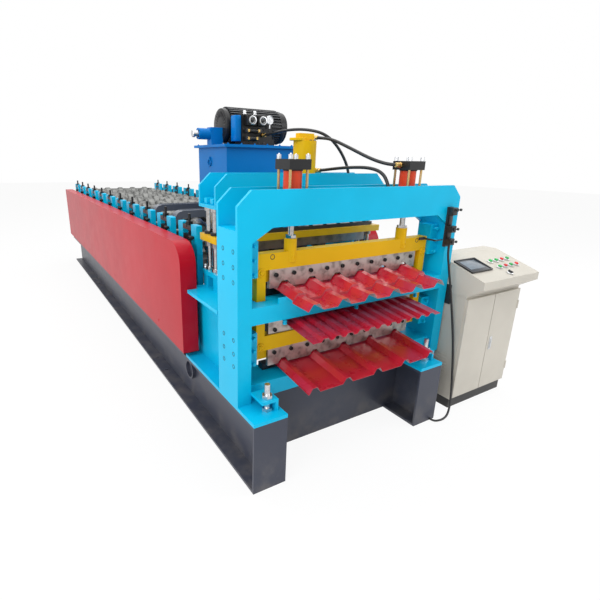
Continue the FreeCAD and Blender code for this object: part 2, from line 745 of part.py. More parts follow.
def cutter_cylinders():
    caps, tubes, ties = [], [], []
    foot = "cylinder_foot"
    for side, sign in (("left", -1), ("right", 1)):
        x = f"{sign} * ram_offset"
        across = (f"{x} - cap_width / 2", f"{x} + cap_width / 2")
        deep = (f"{RAM_Y} - cap_depth / 2", f"{RAM_Y} + cap_depth / 2")
        low = box(f"foot_cap_{side}_block", across, deep, (foot, f"{foot} + foot_cap_height"))
        bore = rod(f"foot_cap_{side}_bore", "ram_rod_radius + shaft_fit", "2 * foot_cap_height", x, RAM_Y,
                   f"{foot} - foot_cap_height / 2")
        caps.append(cut(f"foot_cap_{side}", low, bore))
        caps.append(box(f"head_cap_{side}", across, deep, ("cylinder_top - cap_height", "cylinder_top")))
        span = f"cylinder_top - cap_height - {foot} - foot_cap_height"
        skin = rod(f"tube_{side}_skin", "tube_radius", span, x, RAM_Y, f"{foot} + foot_cap_height")
        hollow = rod(f"tube_{side}_hollow", "tube_bore", span, x, RAM_Y, f"{foot} + foot_cap_height")
        tubes.append(cut(f"tube_{side}", skin, hollow))
        for place_name, a, b in (("fl", -1, -1), ("fr", 1, -1), ("bl", -1, 1), ("br", 1, 1)):
            tie_x = f"{x} + {a} * tie_rod_pitch / 2"
            tie_y = f"{RAM_Y} + {b} * tie_rod_pitch / 2 * cap_depth / cap_width"
            ties.append(prism(f"tie_{side}_{place_name}", 8, "tie_rod_radius", span, tie_x, tie_y,
                              f"{foot} + foot_cap_height"))
            ties.append(prism(f"tie_nut_{side}_{place_name}", 6, "1.8 * tie_rod_radius", "tie_nut_height",
                              tie_x, tie_y, "cylinder_top"))
    node(group("cylinder_caps", caps), "cylinder_caps")
    node(group("cylinder_tubes", tubes), "cylinder_tubes")
    node(group("tie_rods", ties), "tie_rods")


def press():
    pedestals = []
    for side, sign in (("left", -1), ("right", 1)):
        near, far = f"({HALF} - pedestal_web_inset - pedestal_wall)", f"({HALF} - pedestal_web_inset)"
        web, rib = (near, far), (f"({HALF} - pedestal_width)", near)
        if sign < 0:
            web, rib = [(f"-{end}", f"-{start}") for start, end in (web, rib)]
        walls = [box(f"pedestal_{side}_web", web, ("pedestal_front", "bed_plate_length"),
                     (DECK, "press_bed_bottom - pedestal_wall / 2"))]
        for place_name, y in (("front", "press_front"), ("rear", "bed_plate_length - pedestal_wall")):
            walls.append(box(f"pedestal_{side}_{place_name}", rib, (y, f"{y} + pedestal_wall"),
                             (DECK, "press_bed_bottom - pedestal_wall / 2")))
        step_x, step_y = "(cover_outer - cover_lip - slide_margin)", "(cover_front - slide_margin)"
        corners = [(f"({HALF} - pedestal_width)", "press_front"), (f"({HALF} - pedestal_wall)", "pedestal_front"),
                   (HALF, "pedestal_front"), (HALF, step_y), (step_x, step_y), (step_x, "bed_plate_length"),
                   (f"({HALF} - pedestal_width)", "bed_plate_length")]
        if sign < 0:
            corners = [(f"-{x}", y) for x, y in corners]
        shelf = outline(f"pedestal_{side}_shelf", "XY", corners, "press_bed_bottom - pedestal_wall", "press_bed_bottom")
        pedestals.append(fuse(f"pedestal_{side}", walls + [shelf]))
    node(group("press_pedestals", pedestals), "press_pedestals")

    half = "press_width / 2"
    bed = [box("bed_top_plate", (f"-{half}", half), ("press_front", "bed_plate_length"),
               ("press_bed_top - press_bed_thick", "press_bed_top"))]
    for side, (low, high) in zip(("left", "right"), mirrored_pair(f"{half} - bed_block", f"{half} - slide_margin")):
        for place_name, y in (("front", "press_front + slide_margin"), ("rear", "bed_plate_length - bed_block")):
            bed.append(box(f"bed_block_{side}_{place_name}", (low, high), (y, f"{y} + bed_block - slide_margin"),
                           ("press_bed_bottom", "press_bed_top - press_bed_thick / 2")))
    node(fuse("press_bed", bed), "press_bed")

    front, back = ("press_front", "press_front + press_plate_thick"), (f"{PRESS_BACK} - press_plate_thick", PRESS_BACK)
    plate = [(f"-{half}", "press_head_bottom"), (f"-{half}", "press_head_top - corner_tall"),
             (f"-{half} + corner_wide", "press_head_top"), (f"{half} - corner_wide", "press_head_top"),
             (half, "press_head_top - corner_tall"), (half, "press_head_bottom")]
    centre, middle = "press_cylinder_offset", "(press_front + press_depth / 2)"
    web = box("press_head_web", (f"-{half}", half), ("press_front", PRESS_BACK),
              ("press_head_bottom", "press_head_bottom + press_plate_thick"))
    bore = rod("press_head_bore", "press_rod_radius + ram_clearance", "3 * press_plate_thick", centre, middle,
               "press_head_bottom - press_plate_thick")
    head = fuse("press_head_channel", [outline("press_head_front", "XZ", plate, *front),
                                       outline("press_head_rear", "XZ", plate, *back), web])
    node(cut("press_head", head, bore), "press_head")

    top = "(press_slide_bottom + press_slide_thick)"
    columns, holes, collars = [], [], []
    for side, sign in (("left", -1), ("right", 1)):
        for end, y in (("front", "column_front"), ("rear", "column_front + column_pitch")):
            x = f"{sign} * column_offset"
            columns.append(rod(f"column_{side}_{end}", "column_radius", "press_head_bottom - press_bed_top", x, y,
                               "press_bed_top"))
            holes.append(rod(f"slide_hole_{side}_{end}", "column_radius + column_fit",
                             "press_head_bottom - press_bed_top", x, y, "press_bed_top"))
            collars.append(prism(f"collar_{side}_{end}", 16, "collar_radius", "collar_height + press_slide_thick / 2",
                                 x, y, "press_slide_bottom - collar_height"))
    node(group("press_columns", columns), "press_columns")

    y = ("press_front + slide_margin", f"{PRESS_BACK} - slide_margin")
    slide = box("slide_plate", (f"-{half}", half), y, ("press_slide_bottom", top))
    cap = box("slide_cap", (f"-{half} + bed_block", f"{half} - bed_block"), (f"{y[0]} + pedestal_wall", f"{y[1]} - pedestal_wall"),
              (f"{top} - press_cap_thick / 2", f"{top} + press_cap_thick"))
    die = box("slide_die", ("-roll_length / 2 + slide_margin", "roll_length / 2 - slide_margin"),
              (f"{y[0]} + pedestal_wall", f"{y[1]} - pedestal_wall"),
              ("press_slide_bottom - press_die_tall", f"{top} - press_slide_thick / 2"))
    node(cut("press_slide", fuse("slide_stack", [slide, cap, die] + collars), group("slide_holes", holes)), "press_slide")
    ram_top = "(press_head_bottom + press_plate_thick)"
    node(rod("press_rod", "press_rod_radius",
             f"{ram_top} + press_cylinder_height / 2 - {top} - press_cap_thick", centre, middle,
             f"{top} + press_cap_thick"), "press_rod")
    barrel = rod("press_barrel", "press_cylinder_radius", "press_cylinder_height", centre, middle, ram_top)
    flange_half = "(press_cylinder_radius + press_plate_thick / 2)"
    flange = box("press_barrel_flange", (f"{centre} - {flange_half}", f"{centre} + {flange_half}"),
                 (f"{middle} - {flange_half}", f"{middle} + {flange_half}"), (ram_top, f"{ram_top} + press_plate_thick"))
    hollow = rod("press_barrel_bore", "press_rod_radius + ram_clearance",
                 "press_cylinder_height - 2 * press_plate_thick", centre, middle, f"{ram_top} - press_plate_thick / 2")
    block = box("press_port_block", (f"{centre} - port_block_left", f"{centre} + port_block_right"),
                (f"{middle} - port_block_half", f"{middle} + port_block_half"),
                (f"{ram_top} + press_cylinder_height", f"{ram_top} + press_cylinder_height + port_block_height"))
    ports = [prism(f"press_port_{level}", 12, "port_radius", "port_reach - press_cylinder_radius / 2",
                   f"{centre} + press_cylinder_radius / 2", middle, f"{level}_port", "x") for level in ("upper", "lower")]
    body = cut("press_barrel_hollow", fuse("press_barrel_body", [barrel, flange]), hollow)
    node(fuse("press_cylinder", [body, block] + ports), "press_cylinder")


def station(index):
    return f"(first_station + {index} * station_pitch)"


def stand(name, x, y):
    """One side plate of a roll station, with an open slot for the bearing block of the top shaft."""
    half, slot, top, cut_off = "stand_width / 2", "slot_width / 2", "stand_top", "stand_shoulder"
    profile = [(f"{y} - {half}", "beam_height"), (f"{y} + {half}", "beam_height"),
               (f"{y} + {half}", f"{top} - {cut_off}"), (f"{y} + {half} - {cut_off}", top),
               (f"{y} + {slot}", top), (f"{y} + {slot}", "slot_bottom"), (f"{y} - {slot}", "slot_bottom"),
               (f"{y} - {slot}", top), (f"{y} - {half} + {cut_off}", top), (f"{y} - {half}", f"{top} - {cut_off}")]
    return outline(name, "YZ", profile, f"{x} - stand_thick / 2", f"{x} + stand_thick / 2")


def adjuster(name, x, y):
    """The bearing block of the top shaft, with its yoke bar, adjusting screw and nut."""
    across = (f"{x} - stand_thick / 2", f"{x} + stand_thick / 2")
    deep = (f"{y} - slot_width / 2 + shaft_fit", f"{y} + slot_width / 2 - shaft_fit")
    block = box(name + "_block", across, deep, ("slot_bottom", "bearing_top"))
    yoke = box(name + "_yoke", across, deep, ("yoke_bottom", "yoke_bottom + yoke_thick"))
    screw = prism(name + "_screw", 8, "screw_radius", "screw_top - bearing_top + screw_radius", x, y,
                  "bearing_top - screw_radius")
    nut = prism(name + "_nut", 6, "nut_radius", "nut_height + yoke_thick / 2", x, y, "yoke_bottom + yoke_thick / 2")
    bore = prism(name + "_bore", 12, "1.05 * shaft_radius + shaft_fit", "2 * stand_thick", f"{x} - stand_thick", y,
                 "roll_axis", "x")
    return cut(name, fuse(name + "_stack", [block, yoke, screw, nut]), bore)


def top_roll(index):
    """A top roll of five tapering rings on its shaft; the rings grow towards the cutter."""
    name, y = f"top_roll_{index + 1:02d}", station(index)
    pieces = [rod(name + "_shaft", "shaft_radius", "2 * shaft_reach", "-shaft_reach", y, "roll_axis", "x"),
              prism(name + "_barrel", 16, "roll_radius", "roll_length", "-roll_length / 2", y, "roll_axis", "x")]
    rise = f"roll_radius + ring_rise * (0.55 + 0.45 * {SIZES['station_count'] - 1 - index} / (station_count - 1))"
    for ring in range(SIZES["ring_count"]):
        x = f"({ring} - (ring_count - 1) / 2) * ring_pitch"
        pieces.append(prism(f"{name}_ring_{ring + 1}", 16, rise, "ring_width", f"{x} - ring_width / 2", y, "roll_axis",
                            "x"))
    return node(fuse(name, pieces), name)


def mill():
    stands, screws, low_rolls = [], [], []
    for index in range(SIZES["station_count"]):
        y = station(index)
        for side, sign in (("left", -1), ("right", 1)):
            x = f"({sign} * stand_offset)"
            stands.append(stand(f"stand_{side}_{index + 1}", x, y))
            screws.append(adjuster(f"adjuster_{side}_{index + 1}", x, y))
        reach = "(stand_offset - stand_thick / 2)"
        low_rolls.append(prism(f"lower_roll_{index + 1}", 16, "lower_roll_radius", f"2 * {reach}", f"-{reach}", y,
                               "lower_roll_axis", "x"))
        for deck in range(2):
            low_rolls.append(prism(f"deck_roll_{deck + 1}_{index + 1}", 12, "deck_roll_radius", f"2 * {reach}",
                                   f"-{reach}", y, f"second_deck_axis - {deck} * second_deck_step", "x"))
        top_roll(index)
    node(group("roll_stands", stands), "roll_stands")
    node(group("adjusting_screws", screws), "adjusting_screws")
    node(group("lower_rolls", low_rolls), "lower_rolls")


def cover(side, sign):
    """A sheet-metal cover with its front top corner rounded and its edges turned in."""
    name = f"side_cover_{side}"
    body = doc.addObject("PartDesign::Body", name)
    corners = along([("cover_front", "cover_bottom"), ("cover_back", "cover_bottom"), ("cover_back", "cover_top"),
                     ("cover_front", "cover_top")])
    pad = body.newObject("PartDesign::Pad", name + "_block")
    pad.Profile = draw(body, name + "_outline", "YZ", corners)
    bind(pad, Length="cover_lip")
    shell = round_corners(body, name, [("YZ", number("cover_front - base_length / 2"), number("cover_top"))],
                          "cover_corner")
    place(shell, "cover_outer - cover_lip" if sign > 0 else "-cover_outer", "base_length / 2", "0")
    inner = ("cover_outer - cover_lip - 1", "cover_outer - cover_sheet")
    low, high = inner if sign > 0 else (f"-({inner[1]})", f"-({inner[0]})")
    sheet_edge = "cover_sheet"
    room = outline(name + "_room", "YZ",
                   [(f"cover_front + {sheet_edge}", f"cover_bottom + {sheet_edge}"),
                    (f"cover_back - {sheet_edge}", f"cover_bottom + {sheet_edge}"),
                    (f"cover_back - {sheet_edge}", f"cover_top - {sheet_edge}"),
                    ("cover_front + cover_corner", f"cover_top - {sheet_edge}"),
                    ("cover_front + cover_corner * 0.5", f"cover_top - cover_corner * 0.134 - {sheet_edge}"),
                    ("cover_front + cover_corner * 0.134 + cover_sheet", "cover_top - cover_corner * 0.5"),
                    (f"cover_front + {sheet_edge}", "cover_top - cover_corner")], low, high)
    return node(cut(name, shell, room), name)


def covers():
    cover("left", -1)
    cover("right", 1)
    brackets = []
    for side, sign in (("left", -1), ("right", 1)):
        for index in (0, 3, 6, 9):
            y = f"{station(index)} + station_pitch / 2"
            low, high = "stand_offset - stand_thick / 2", "cover_outer - cover_lip + bracket_lap"
            x = (low, high) if sign > 0 else (f"-({high})", f"-({low})")
            width = (f"{y} - bracket_width / 2", f"{y} + bracket_width / 2")
            foot = box(f"bracket_{side}_{index}_foot", x, width, ("cover_bottom - bracket_plate", "cover_bottom"))
            leg_x = (low, f"{low} + bracket_plate") if sign > 0 else (f"-({low} + bracket_plate)", f"-({low})")
            leg = box(f"bracket_{side}_{index}_leg", leg_x, width,
                      ("beam_height", "cover_bottom - bracket_plate / 2"))
            brackets.append(fuse(f"bracket_{side}_{index}", [foot, leg]))
    node(group("cover_brackets", brackets), "cover_brackets")


def tank_hoop(name, y):
    """A bent bar that spans the line between two stands and carries the tank."""
    reach, low, top = "(stand_offset - stand_thick / 2)", "(stand_top + rail_height - hoop_leg)", "(stand_top + rail_height)"
    profile = [(f"-{reach}", low), (f"-{reach}", top), (reach, top), (reach, low), (f"{reach} - hoop_bar", low),
               (f"{reach} - hoop_bar", f"{top} - hoop_bar"), (f"-{reach} + hoop_bar", f"{top} - hoop_bar"),
               (f"-{reach} + hoop_bar", low)]
    hoop = outline(name, "XZ", profile, y, f"{y} + hoop_depth")
    return round_corners(hoop, name, [("XZ", number(f"-{reach}"), number(top)), ("XZ", number(reach), number(top))],
                         "hoop_corner")


def hydraulics():
    hoops = [tank_hoop(f"hoop_{index + 1}", f"{station(index)} - stand_width / 2") for index in (1, 2)]
    node(group("tank_rails", hoops), "tank_rails")

    left, right = "-tank_left", "tank_width - tank_left"
    front, back = "tank_front", "tank_front + tank_depth"
    bottom = "stand_top + rail_height"
    tank = box("oil_tank_box", (left, right), (front, back), (bottom, "tank_top"))
    room = box("oil_tank_room", (f"{left} + tank_wall", f"{right} - tank_wall"),
               (f"{front} + tank_wall", f"{back} - tank_wall"), (f"{bottom} + tank_wall", "tank_top"))
    lid = box("tank_lid", (f"{left} - tank_lid_edge", f"{right} + tank_lid_edge"),
              (f"{front} - tank_lid_edge", f"{back} + tank_lid_edge"), ("tank_top", LID_TOP))
    node(fuse("oil_tank", [cut("tank_shell", tank, room), lid]), "oil_tank")

    axis = f"{LID_TOP} + motor_foot + motor_radius"
    y = "(tank_front + tank_depth / 2)"
    barrel = rod("motor_barrel", "motor_radius", "motor_length", "-motor_left", y, axis, "x")
    foot = "(motor_foot_start - motor_left)"
    feet = box("motor_feet", (foot, f"{foot} + motor_foot_length"),
               (f"{y} - motor_foot_half", f"{y} + motor_foot_half"),
               (LID_TOP, f"{LID_TOP} + motor_foot + motor_radius / 2"))
    node(fuse("pump_motor", [barrel, feet]), "pump_motor")
    start = "(-motor_left - pump_gap - manifold_width)"
    pump = rod("pump_barrel", "pump_radius", "pump_length", f"{start} - pump_length * 0.8", y, f"{LID_TOP} + pump_rise",
               "x")
    manifold = box("pump_manifold", (start, f"{start} + manifold_width"), (f"{y} - pump_radius", f"{y} + pump_radius"),
                   (LID_TOP, f"{LID_TOP} + manifold_height"))
    node(fuse("oil_pump", [pump, manifold]), "oil_pump")
    x0, y0 = "(-motor_left / 2)", "(tank_front + motor_foot)"
    block = box("valve_manifold", (x0, f"{x0} + valve_block_width"), (y0, f"{y0} + valve_block_depth"),
                (LID_TOP, f"{LID_TOP} + valve_block_height"))
    valves = box("valve_bodies", (x0, f"{x0} + valve_block_width"), (y0, f"{y0} + valve_depth"),
                 (f"{LID_TOP} + valve_block_height / 2", f"{LID_TOP} + valve_block_height + valve_height"))
    node(fuse("valve_block", [block, valves]), "valve_block")


def desk_slope():
    """Rise and run of the desk's sloping top."""
    run = number("desk_overhang + cabinet_depth - desk_ridge")
    return number("desk_back_top - desk_lip_top"), run


def on_desk(thing, x, along_slope, proud=0.0):
    """Lays a piece on the desk's slope, along_slope from its front edge."""
    rise, run = desk_slope()
    angle = math.atan2(rise, run)
    y = number("cabinet_front - desk_overhang - base_length / 2") + along_slope * math.cos(angle)
    z = SIZES["desk_lip_top"] + along_slope * math.sin(angle)
    offset = FreeCAD.Vector(0, -math.sin(angle), math.cos(angle)) * proud
    thing.Placement = FreeCAD.Placement(FreeCAD.Vector(number(x), y, z) + offset,
                                        FreeCAD.Rotation(FreeCAD.Vector(1, 0, 0), math.degrees(angle)))
    return thing


def cabinet():
    left, right = "cabinet_left", "(cabinet_left + cabinet_width)"
    front, back = "cabinet_front", "(cabinet_front + cabinet_depth)"
    shell = box("cabinet_shell", (left, right), (front, back), ("plinth_height", "cabinet_top"))
    room = box("cabinet_room", (f"{left} + cabinet_wall", f"{right} - cabinet_wall"),
               (f"{front} + cabinet_wall", f"{back} - cabinet_wall"),
               ("plinth_height + cabinet_wall", "cabinet_top - cabinet_wall"))
    doorway = box("cabinet_doorway", (f"{left} + door_inset + door_lap", f"{right} - door_inset - door_lap"),
                  (f"{front} - cabinet_wall", f"{front} + 2 * cabinet_wall"),
                  ("plinth_height + door_margin + door_lap", "cabinet_top - door_margin - door_lap"))
    node(cut("cabinet_body", shell, group("cabinet_hollows", [room, doorway])), "cabinet_body")
    node(box("cabinet_plinth", (f"{left} + plinth_inset", f"{right} - plinth_inset"),
             (f"{front} + plinth_inset", f"{back} - plinth_inset"), ("0", "plinth_height")), "cabinet_plinth")
    desk = [(f"{front} - desk_overhang", "desk_lip_bottom"), (front, "cabinet_top"), (back, "cabinet_top"),
            (back, "desk_back_top"), (f"{back} - desk_ridge", "desk_back_top"),
            (f"{front} - desk_overhang", "desk_lip_top")]
    node(outline("cabinet_desk", "YZ", desk, f"{left} - desk_side", f"{right} + desk_side"), "cabinet_desk")

    middle = "(cabinet_left + cabinet_width / 2)"
    for side, low, high in (("left", f"{left} + door_inset", f"{middle} - door_gap / 2"),
                            ("right", f"{middle} + door_gap / 2", f"{right} - door_inset")):
        panel = box(f"cabinet_door_{side}_panel", (low, high), (f"{front} - door_seat - door_thick",
                                                               f"{front} - door_seat"),
                    ("plinth_height + door_margin", "cabinet_top - door_margin"))
        hinge_x = low if side == "left" else high
        barrels = [rod(f"hinge_{side}_{level}", "hinge_radius", "hinge_length", hinge_x,
                       f"{front} - door_seat - door_thick", z)
                   for level, z in (("low", "plinth_height + door_margin + hinge_margin"),
                                    ("high", "cabinet_top - door_margin - hinge_margin - hinge_length"))]
        node(fuse(f"cabinet_door_{side}", [panel] + barrels), f"cabinet_door_{side}")
    screen = doc.addObject("Part::Box", "control_screen_box")
    bind(screen, Length="screen_width", Width="screen_tall", Height="screen_proud")
    node(on_desk(screen, f"{left} + screen_margin", SIZES["screen_rise"]), "control_screen")
    buttons = []
    for row in range(2):
        for column in range(4):
            button = doc.addObject("Part::Prism", f"button_{row}_{column}")
            button.Polygon = 12
            bind(button, Circumradius="button_radius", Height="button_height")
            buttons.append(on_desk(button, f"{left} + button_margin + {column} * button_pitch",
                                   SIZES["button_rise"] + row * SIZES["button_row_pitch"]))
    node(group("push_buttons", buttons), "push_buttons")


def switches():
    x = "switch_place"
    rail = box("switch_rail_bar", (f"{x} - switch_rail_width / 2", f"{x} + switch_rail_width / 2"),
               ("portal_front - switch_rail_thick", "portal_front"), ("switch_rail_bottom", "switch_rail_top"))
    bodies = [rail]
    for index, z in enumerate(("switch_rail_bottom + switch_margin", "switch_rail_bottom + switch_margin + switch_step")):
        bodies.append(box(f"switch_{index + 1}", (f"{x} - switch_size / 2", f"{x} + switch_size / 2"),
                          ("portal_front - switch_rail_thick - switch_size", "portal_front - switch_rail_thick / 2"),
                          (z, f"{z} + switch_size")))
    node(fuse("limit_switches", bodies), "limit_switches")


# The cable hangs from the lower switch to the floor and ends at the right foot. Points are x, y, z from the front.
CABLE_ROUTE = [
    (705, 140, 1165), (705, 140, 1110), (722, 127, 1010), (742, 111, 890), (765, 87, 720), (779, 60, 550),
    (786, 38, 390), (786, 20, 250), (780, 4, 140), (760, -15, 55), (714, -37, 16), (655, -52, 11), (605, -48, 11),
    (574, -32, 11), (574, 0, 11),
]

# Hoses between the valves, the press cylinder and the right cutter cylinder
CAP_HOSE_ROUTE = [
    (95, 825, 1808), (150, 825, 1808), (188, 740, 1800), (218, 590, 1742), (250, 440, 1680), (276, 342, 1652),
    (312, 287, 1645), (355, 287, 1645),
]
FOOT_HOSE_ROUTE = [
    (135, 825, 1602), (190, 825, 1602), (222, 735, 1615), (240, 600, 1626), (262, 450, 1628), (277, 350, 1600),
    (282, 302, 1530), (288, 290, 1460), (310, 287, 1420), (355, 287, 1420),
]
PRESS_HOSE_ROUTE = [
    (120, 1505, 1850), (120, 1400, 1850), (122, 1200, 1872), (160, 990, 1872), (262, 880, 1838), (375, 846, 1725),
    (447, 826, 1575), (400, 824, 1468), (270, 825, 1450), (135, 825, 1450),
]


def tube(points, radius):
    """A round tube along straight runs that are joined by tangent arcs."""
    spots = [FreeCAD.Vector(*point) for point in points]
    edges, start, radii = [], spots[0], []
    for before, corner, after in zip(spots, spots[1:], spots[2:]):
        into, out = (corner - before), (after - corner)
        shorter = 0.45 * min(into.Length, out.Length)
        turn = into.getAngle(out)
        first = corner - into.normalize() * shorter
        last = corner + out.normalize() * shorter
        bend = shorter / math.tan(turn / 2)
        radii.append(bend)
        inward = (out - into).normalize()
        middle = corner + inward * (bend / math.cos(turn / 2) - bend)
        edges.append(Part.LineSegment(start, first).toShape())
        edges.append(Part.Arc(first, middle, last).toShape())
        start = last
    edges.append(Part.LineSegment(start, spots[-1]).toShape())
    wire = Part.Wire(edges)
    circle = Part.Circle(spots[0], spots[1] - spots[0], radius)
    profile = Part.Wire([circle.toShape()])
    swept = wire.makePipeShell([profile], True, False)
    expected = math.pi * radius ** 2 * wire.Length
    print("cord length", round(wire.Length), "least bend", round(min(radii)), "volume", swept.Volume / expected)
    return swept


def cords():
    node(solid("switch_cable", tube(CABLE_ROUTE, SIZES["cable_radius"])), "switch_cable")
    for name, route in (("cap_hose", CAP_HOSE_ROUTE), ("foot_hose", FOOT_HOSE_ROUTE),
                        ("press_hose", PRESS_HOSE_ROUTE)):
        node(solid(name, tube(route, SIZES["hose_radius"])), name)


base()
cutter_portal()
cutter_frame()
sheets()
blades()
cutter_cylinders()
press()
mill()
covers()
hydraulics()
cabinet()
switches()
cords()
doc.recompute()

for thing in doc.Objects:
    if "Invalid" in thing.State or "Error" in thing.State:
        raise RuntimeError(f"{thing.Label} did not rebuild: {thing.State}")
for name, thing in NODES.items():
    if thing.Shape.isNull() or not thing.Shape.isValid():
        raise RuntimeError(f"{name} has no valid shape")

os.makedirs("parts", exist_ok=True)
for name, thing in NODES.items():
    thing.Shape.exportStep(f"parts/{name}.step")
    span = thing.Shape.BoundBox
    print(name, len(thing.Shape.Solids), "solids", [round(v) for v in
          (span.XMin, span.YMin, span.ZMin, span.XMax, span.YMax, span.ZMax)], round(thing.Shape.Volume / 1e6, 2))
print(len(NODES), "sub-parts")
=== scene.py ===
# %% [markdown]
# This lesson dresses a roll forming machine: a long line that presses roofing sheet out of flat coil.
# The solid model comes first and stays as it is. Everything here is laid over it, in the same metres,
# and each piece is placed from the front of the feet, which is read from the model.

# %% Load the frame
import json
import math
import bmesh
import bpy
from mathutils import Matrix, Vector


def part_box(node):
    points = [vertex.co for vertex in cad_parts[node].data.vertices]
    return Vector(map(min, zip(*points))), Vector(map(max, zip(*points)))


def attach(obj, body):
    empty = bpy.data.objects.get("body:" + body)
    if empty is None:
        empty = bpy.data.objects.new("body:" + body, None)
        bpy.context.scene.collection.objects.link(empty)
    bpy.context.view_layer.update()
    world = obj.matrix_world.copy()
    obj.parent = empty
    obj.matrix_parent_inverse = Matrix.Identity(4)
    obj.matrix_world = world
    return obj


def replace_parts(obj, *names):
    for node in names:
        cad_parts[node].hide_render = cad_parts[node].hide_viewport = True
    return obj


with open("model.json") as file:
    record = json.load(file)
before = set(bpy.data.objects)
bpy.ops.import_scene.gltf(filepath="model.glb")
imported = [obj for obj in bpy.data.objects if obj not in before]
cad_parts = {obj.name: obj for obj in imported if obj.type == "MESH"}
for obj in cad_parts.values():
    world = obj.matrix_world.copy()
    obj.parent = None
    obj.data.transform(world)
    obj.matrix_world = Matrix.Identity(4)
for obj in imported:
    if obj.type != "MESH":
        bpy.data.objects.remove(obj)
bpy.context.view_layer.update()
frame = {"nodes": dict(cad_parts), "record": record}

ROOT = "machine"

# %% [markdown]
# The camera comes before any piece, because it decides which details are worth making.
# The photograph was taken from the front left, a little above eye height, with a wide lens.
# A small sideways shift stands for the crop, so the lens itself can stay straight.

# %% Set up the camera
CAMERA_PLACE = (-1.685, -4.621, 1.655)
CAMERA_TURN = (72.37, -0.78, -30.32)
CAMERA_LENS = 25.27
CAMERA_SHIFT = (0.0683, -0.0082)

camera_data = bpy.data.cameras.new("camera")
camera_data.lens = CAMERA_LENS
camera_data.sensor_width = 36
camera_data.shift_x, camera_data.shift_y = CAMERA_SHIFT
camera_data.clip_end = 200
camera = bpy.data.objects.new("camera", camera_data)
camera.location = CAMERA_PLACE
camera.rotation_euler = [math.radians(angle) for angle in CAMERA_TURN]
bpy.context.collection.objects.link(camera)
bpy.context.scene.camera = camera

# %% [markdown]
# Places on a machine are easiest to read in millimetres from one corner. Here y is counted from the
# front of the two feet, as a fitter would measure along the line. `at` turns that into the model's metres.

# %% Places counted from the front of the feet
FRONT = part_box("front_feet")[0][1]


def at(x, y, z):
    """A place in millimetres, with y from the front of the feet, as metres in the model's frame."""
    return Vector((x / 1000, FRONT + y / 1000, z / 1000))


print("front of the feet at", round(FRONT, 3))

# %% [markdown]
# The cable and the three hoses are real lengths of something flexible, so each is one smooth NURBS
# curve with a round section. The order is set after the points, or the curve falls back to straight runs.

# %% Routes of the cable and hoses
CABLE_RADIUS = 0.007
HOSE_RADIUS = 0.010
CABLE_ROUTE = [
    (705, 140, 1165), (705, 140, 1110), (722, 127, 1010), (742, 111, 890), (765, 87, 720), (779, 60, 550),
    (786, 38, 390), (786, 20, 250), (780, 4, 140), (760, -15, 55), (714, -37, 16), (655, -52, 11),
    (605, -48, 11), (574, -32, 11), (574, 0, 11),
]
HOSE_ROUTES = {
    "cap_hose": [
        (95, 825, 1808), (150, 825, 1808), (188, 740, 1800), (218, 590, 1742), (250, 440, 1680),
        (276, 342, 1652), (312, 287, 1645), (355, 287, 1645),
    ],
    "foot_hose": [
        (135, 825, 1602), (190, 825, 1602), (222, 735, 1615), (240, 600, 1626), (262, 450, 1628),
        (277, 350, 1600), (282, 302, 1530), (288, 290, 1460), (310, 287, 1420), (355, 287, 1420),
    ],
    "press_hose": [
        (120, 1505, 1850), (120, 1400, 1850), (122, 1200, 1872), (160, 990, 1872), (262, 880, 1838),
        (375, 846, 1725), (447, 826, 1575), (400, 824, 1468), (270, 825, 1450), (135, 825, 1450),
    ],
}


# %% Draw a hose as one smooth curve
def hose(name, route, radius):
    curve = bpy.data.curves.new(name, "CURVE")
    curve.dimensions = "3D"
    curve.bevel_depth = radius
    curve.bevel_resolution = 5
    curve.resolution_u = 10
    curve.use_fill_caps = True
    spline = curve.splines.new("NURBS")
    spline.points.add(len(route) - 1)
    for point, place in zip(spline.points, route):
        point.co = (*at(*place), 1)
    spline.order_u = 3
    spline.use_endpoint_u = True
    piece = bpy.data.objects.new(name, curve)
    bpy.context.collection.objects.link(piece)
    return piece


cable = hose("limit_switch_cable", CABLE_ROUTE, CABLE_RADIUS)
hoses = {name: hose(name + "_line", route, HOSE_RADIUS) for name, route in HOSE_ROUTES.items()}
print("cords drawn:", cable.name, *[piece.name for piece in hoses.values()])

# %% [markdown]
# Finishes are written as short expressions. The class below wraps one socket of a material, so that
# "1 - dust * 0.4" adds the Math nodes for us. A second class holds the material and adds other nodes.

# %% A socket with Python's operators
class Wire:
    """One output socket of a finish, which can be added, multiplied and compared."""

    def __init__(self, finish, socket):
        self.finish = finish
        self.socket = socket

    def maths(self, operation, *others):
        return self.finish.add("ShaderNodeMath", {"operation": operation}, dict(enumerate((self, *others))))

    def __add__(self, other):
        return self.maths("ADD", other)

    def __sub__(self, other):
        return self.maths("SUBTRACT", other)

    def __rsub__(self, other):
        return self.finish.add("ShaderNodeMath", {"operation": "SUBTRACT"}, {0: other, 1: self})

    def __mul__(self, other):
        return self.maths("MULTIPLY", other)

    def __gt__(self, other):
        return self.maths("GREATER_THAN", other)

    def clamp(self):
        return self.finish.add("ShaderNodeClamp", {}, {0: self})

    def smooth(self, low, high):
        """0 below low, 1 above high, and a soft step between."""
        return self.finish.add("ShaderNodeMapRange", {"interpolation_type": "SMOOTHSTEP"},
                               {0: self, 1: low, 2: high})

    __radd__ = __add__
    __rmul__ = __mul__


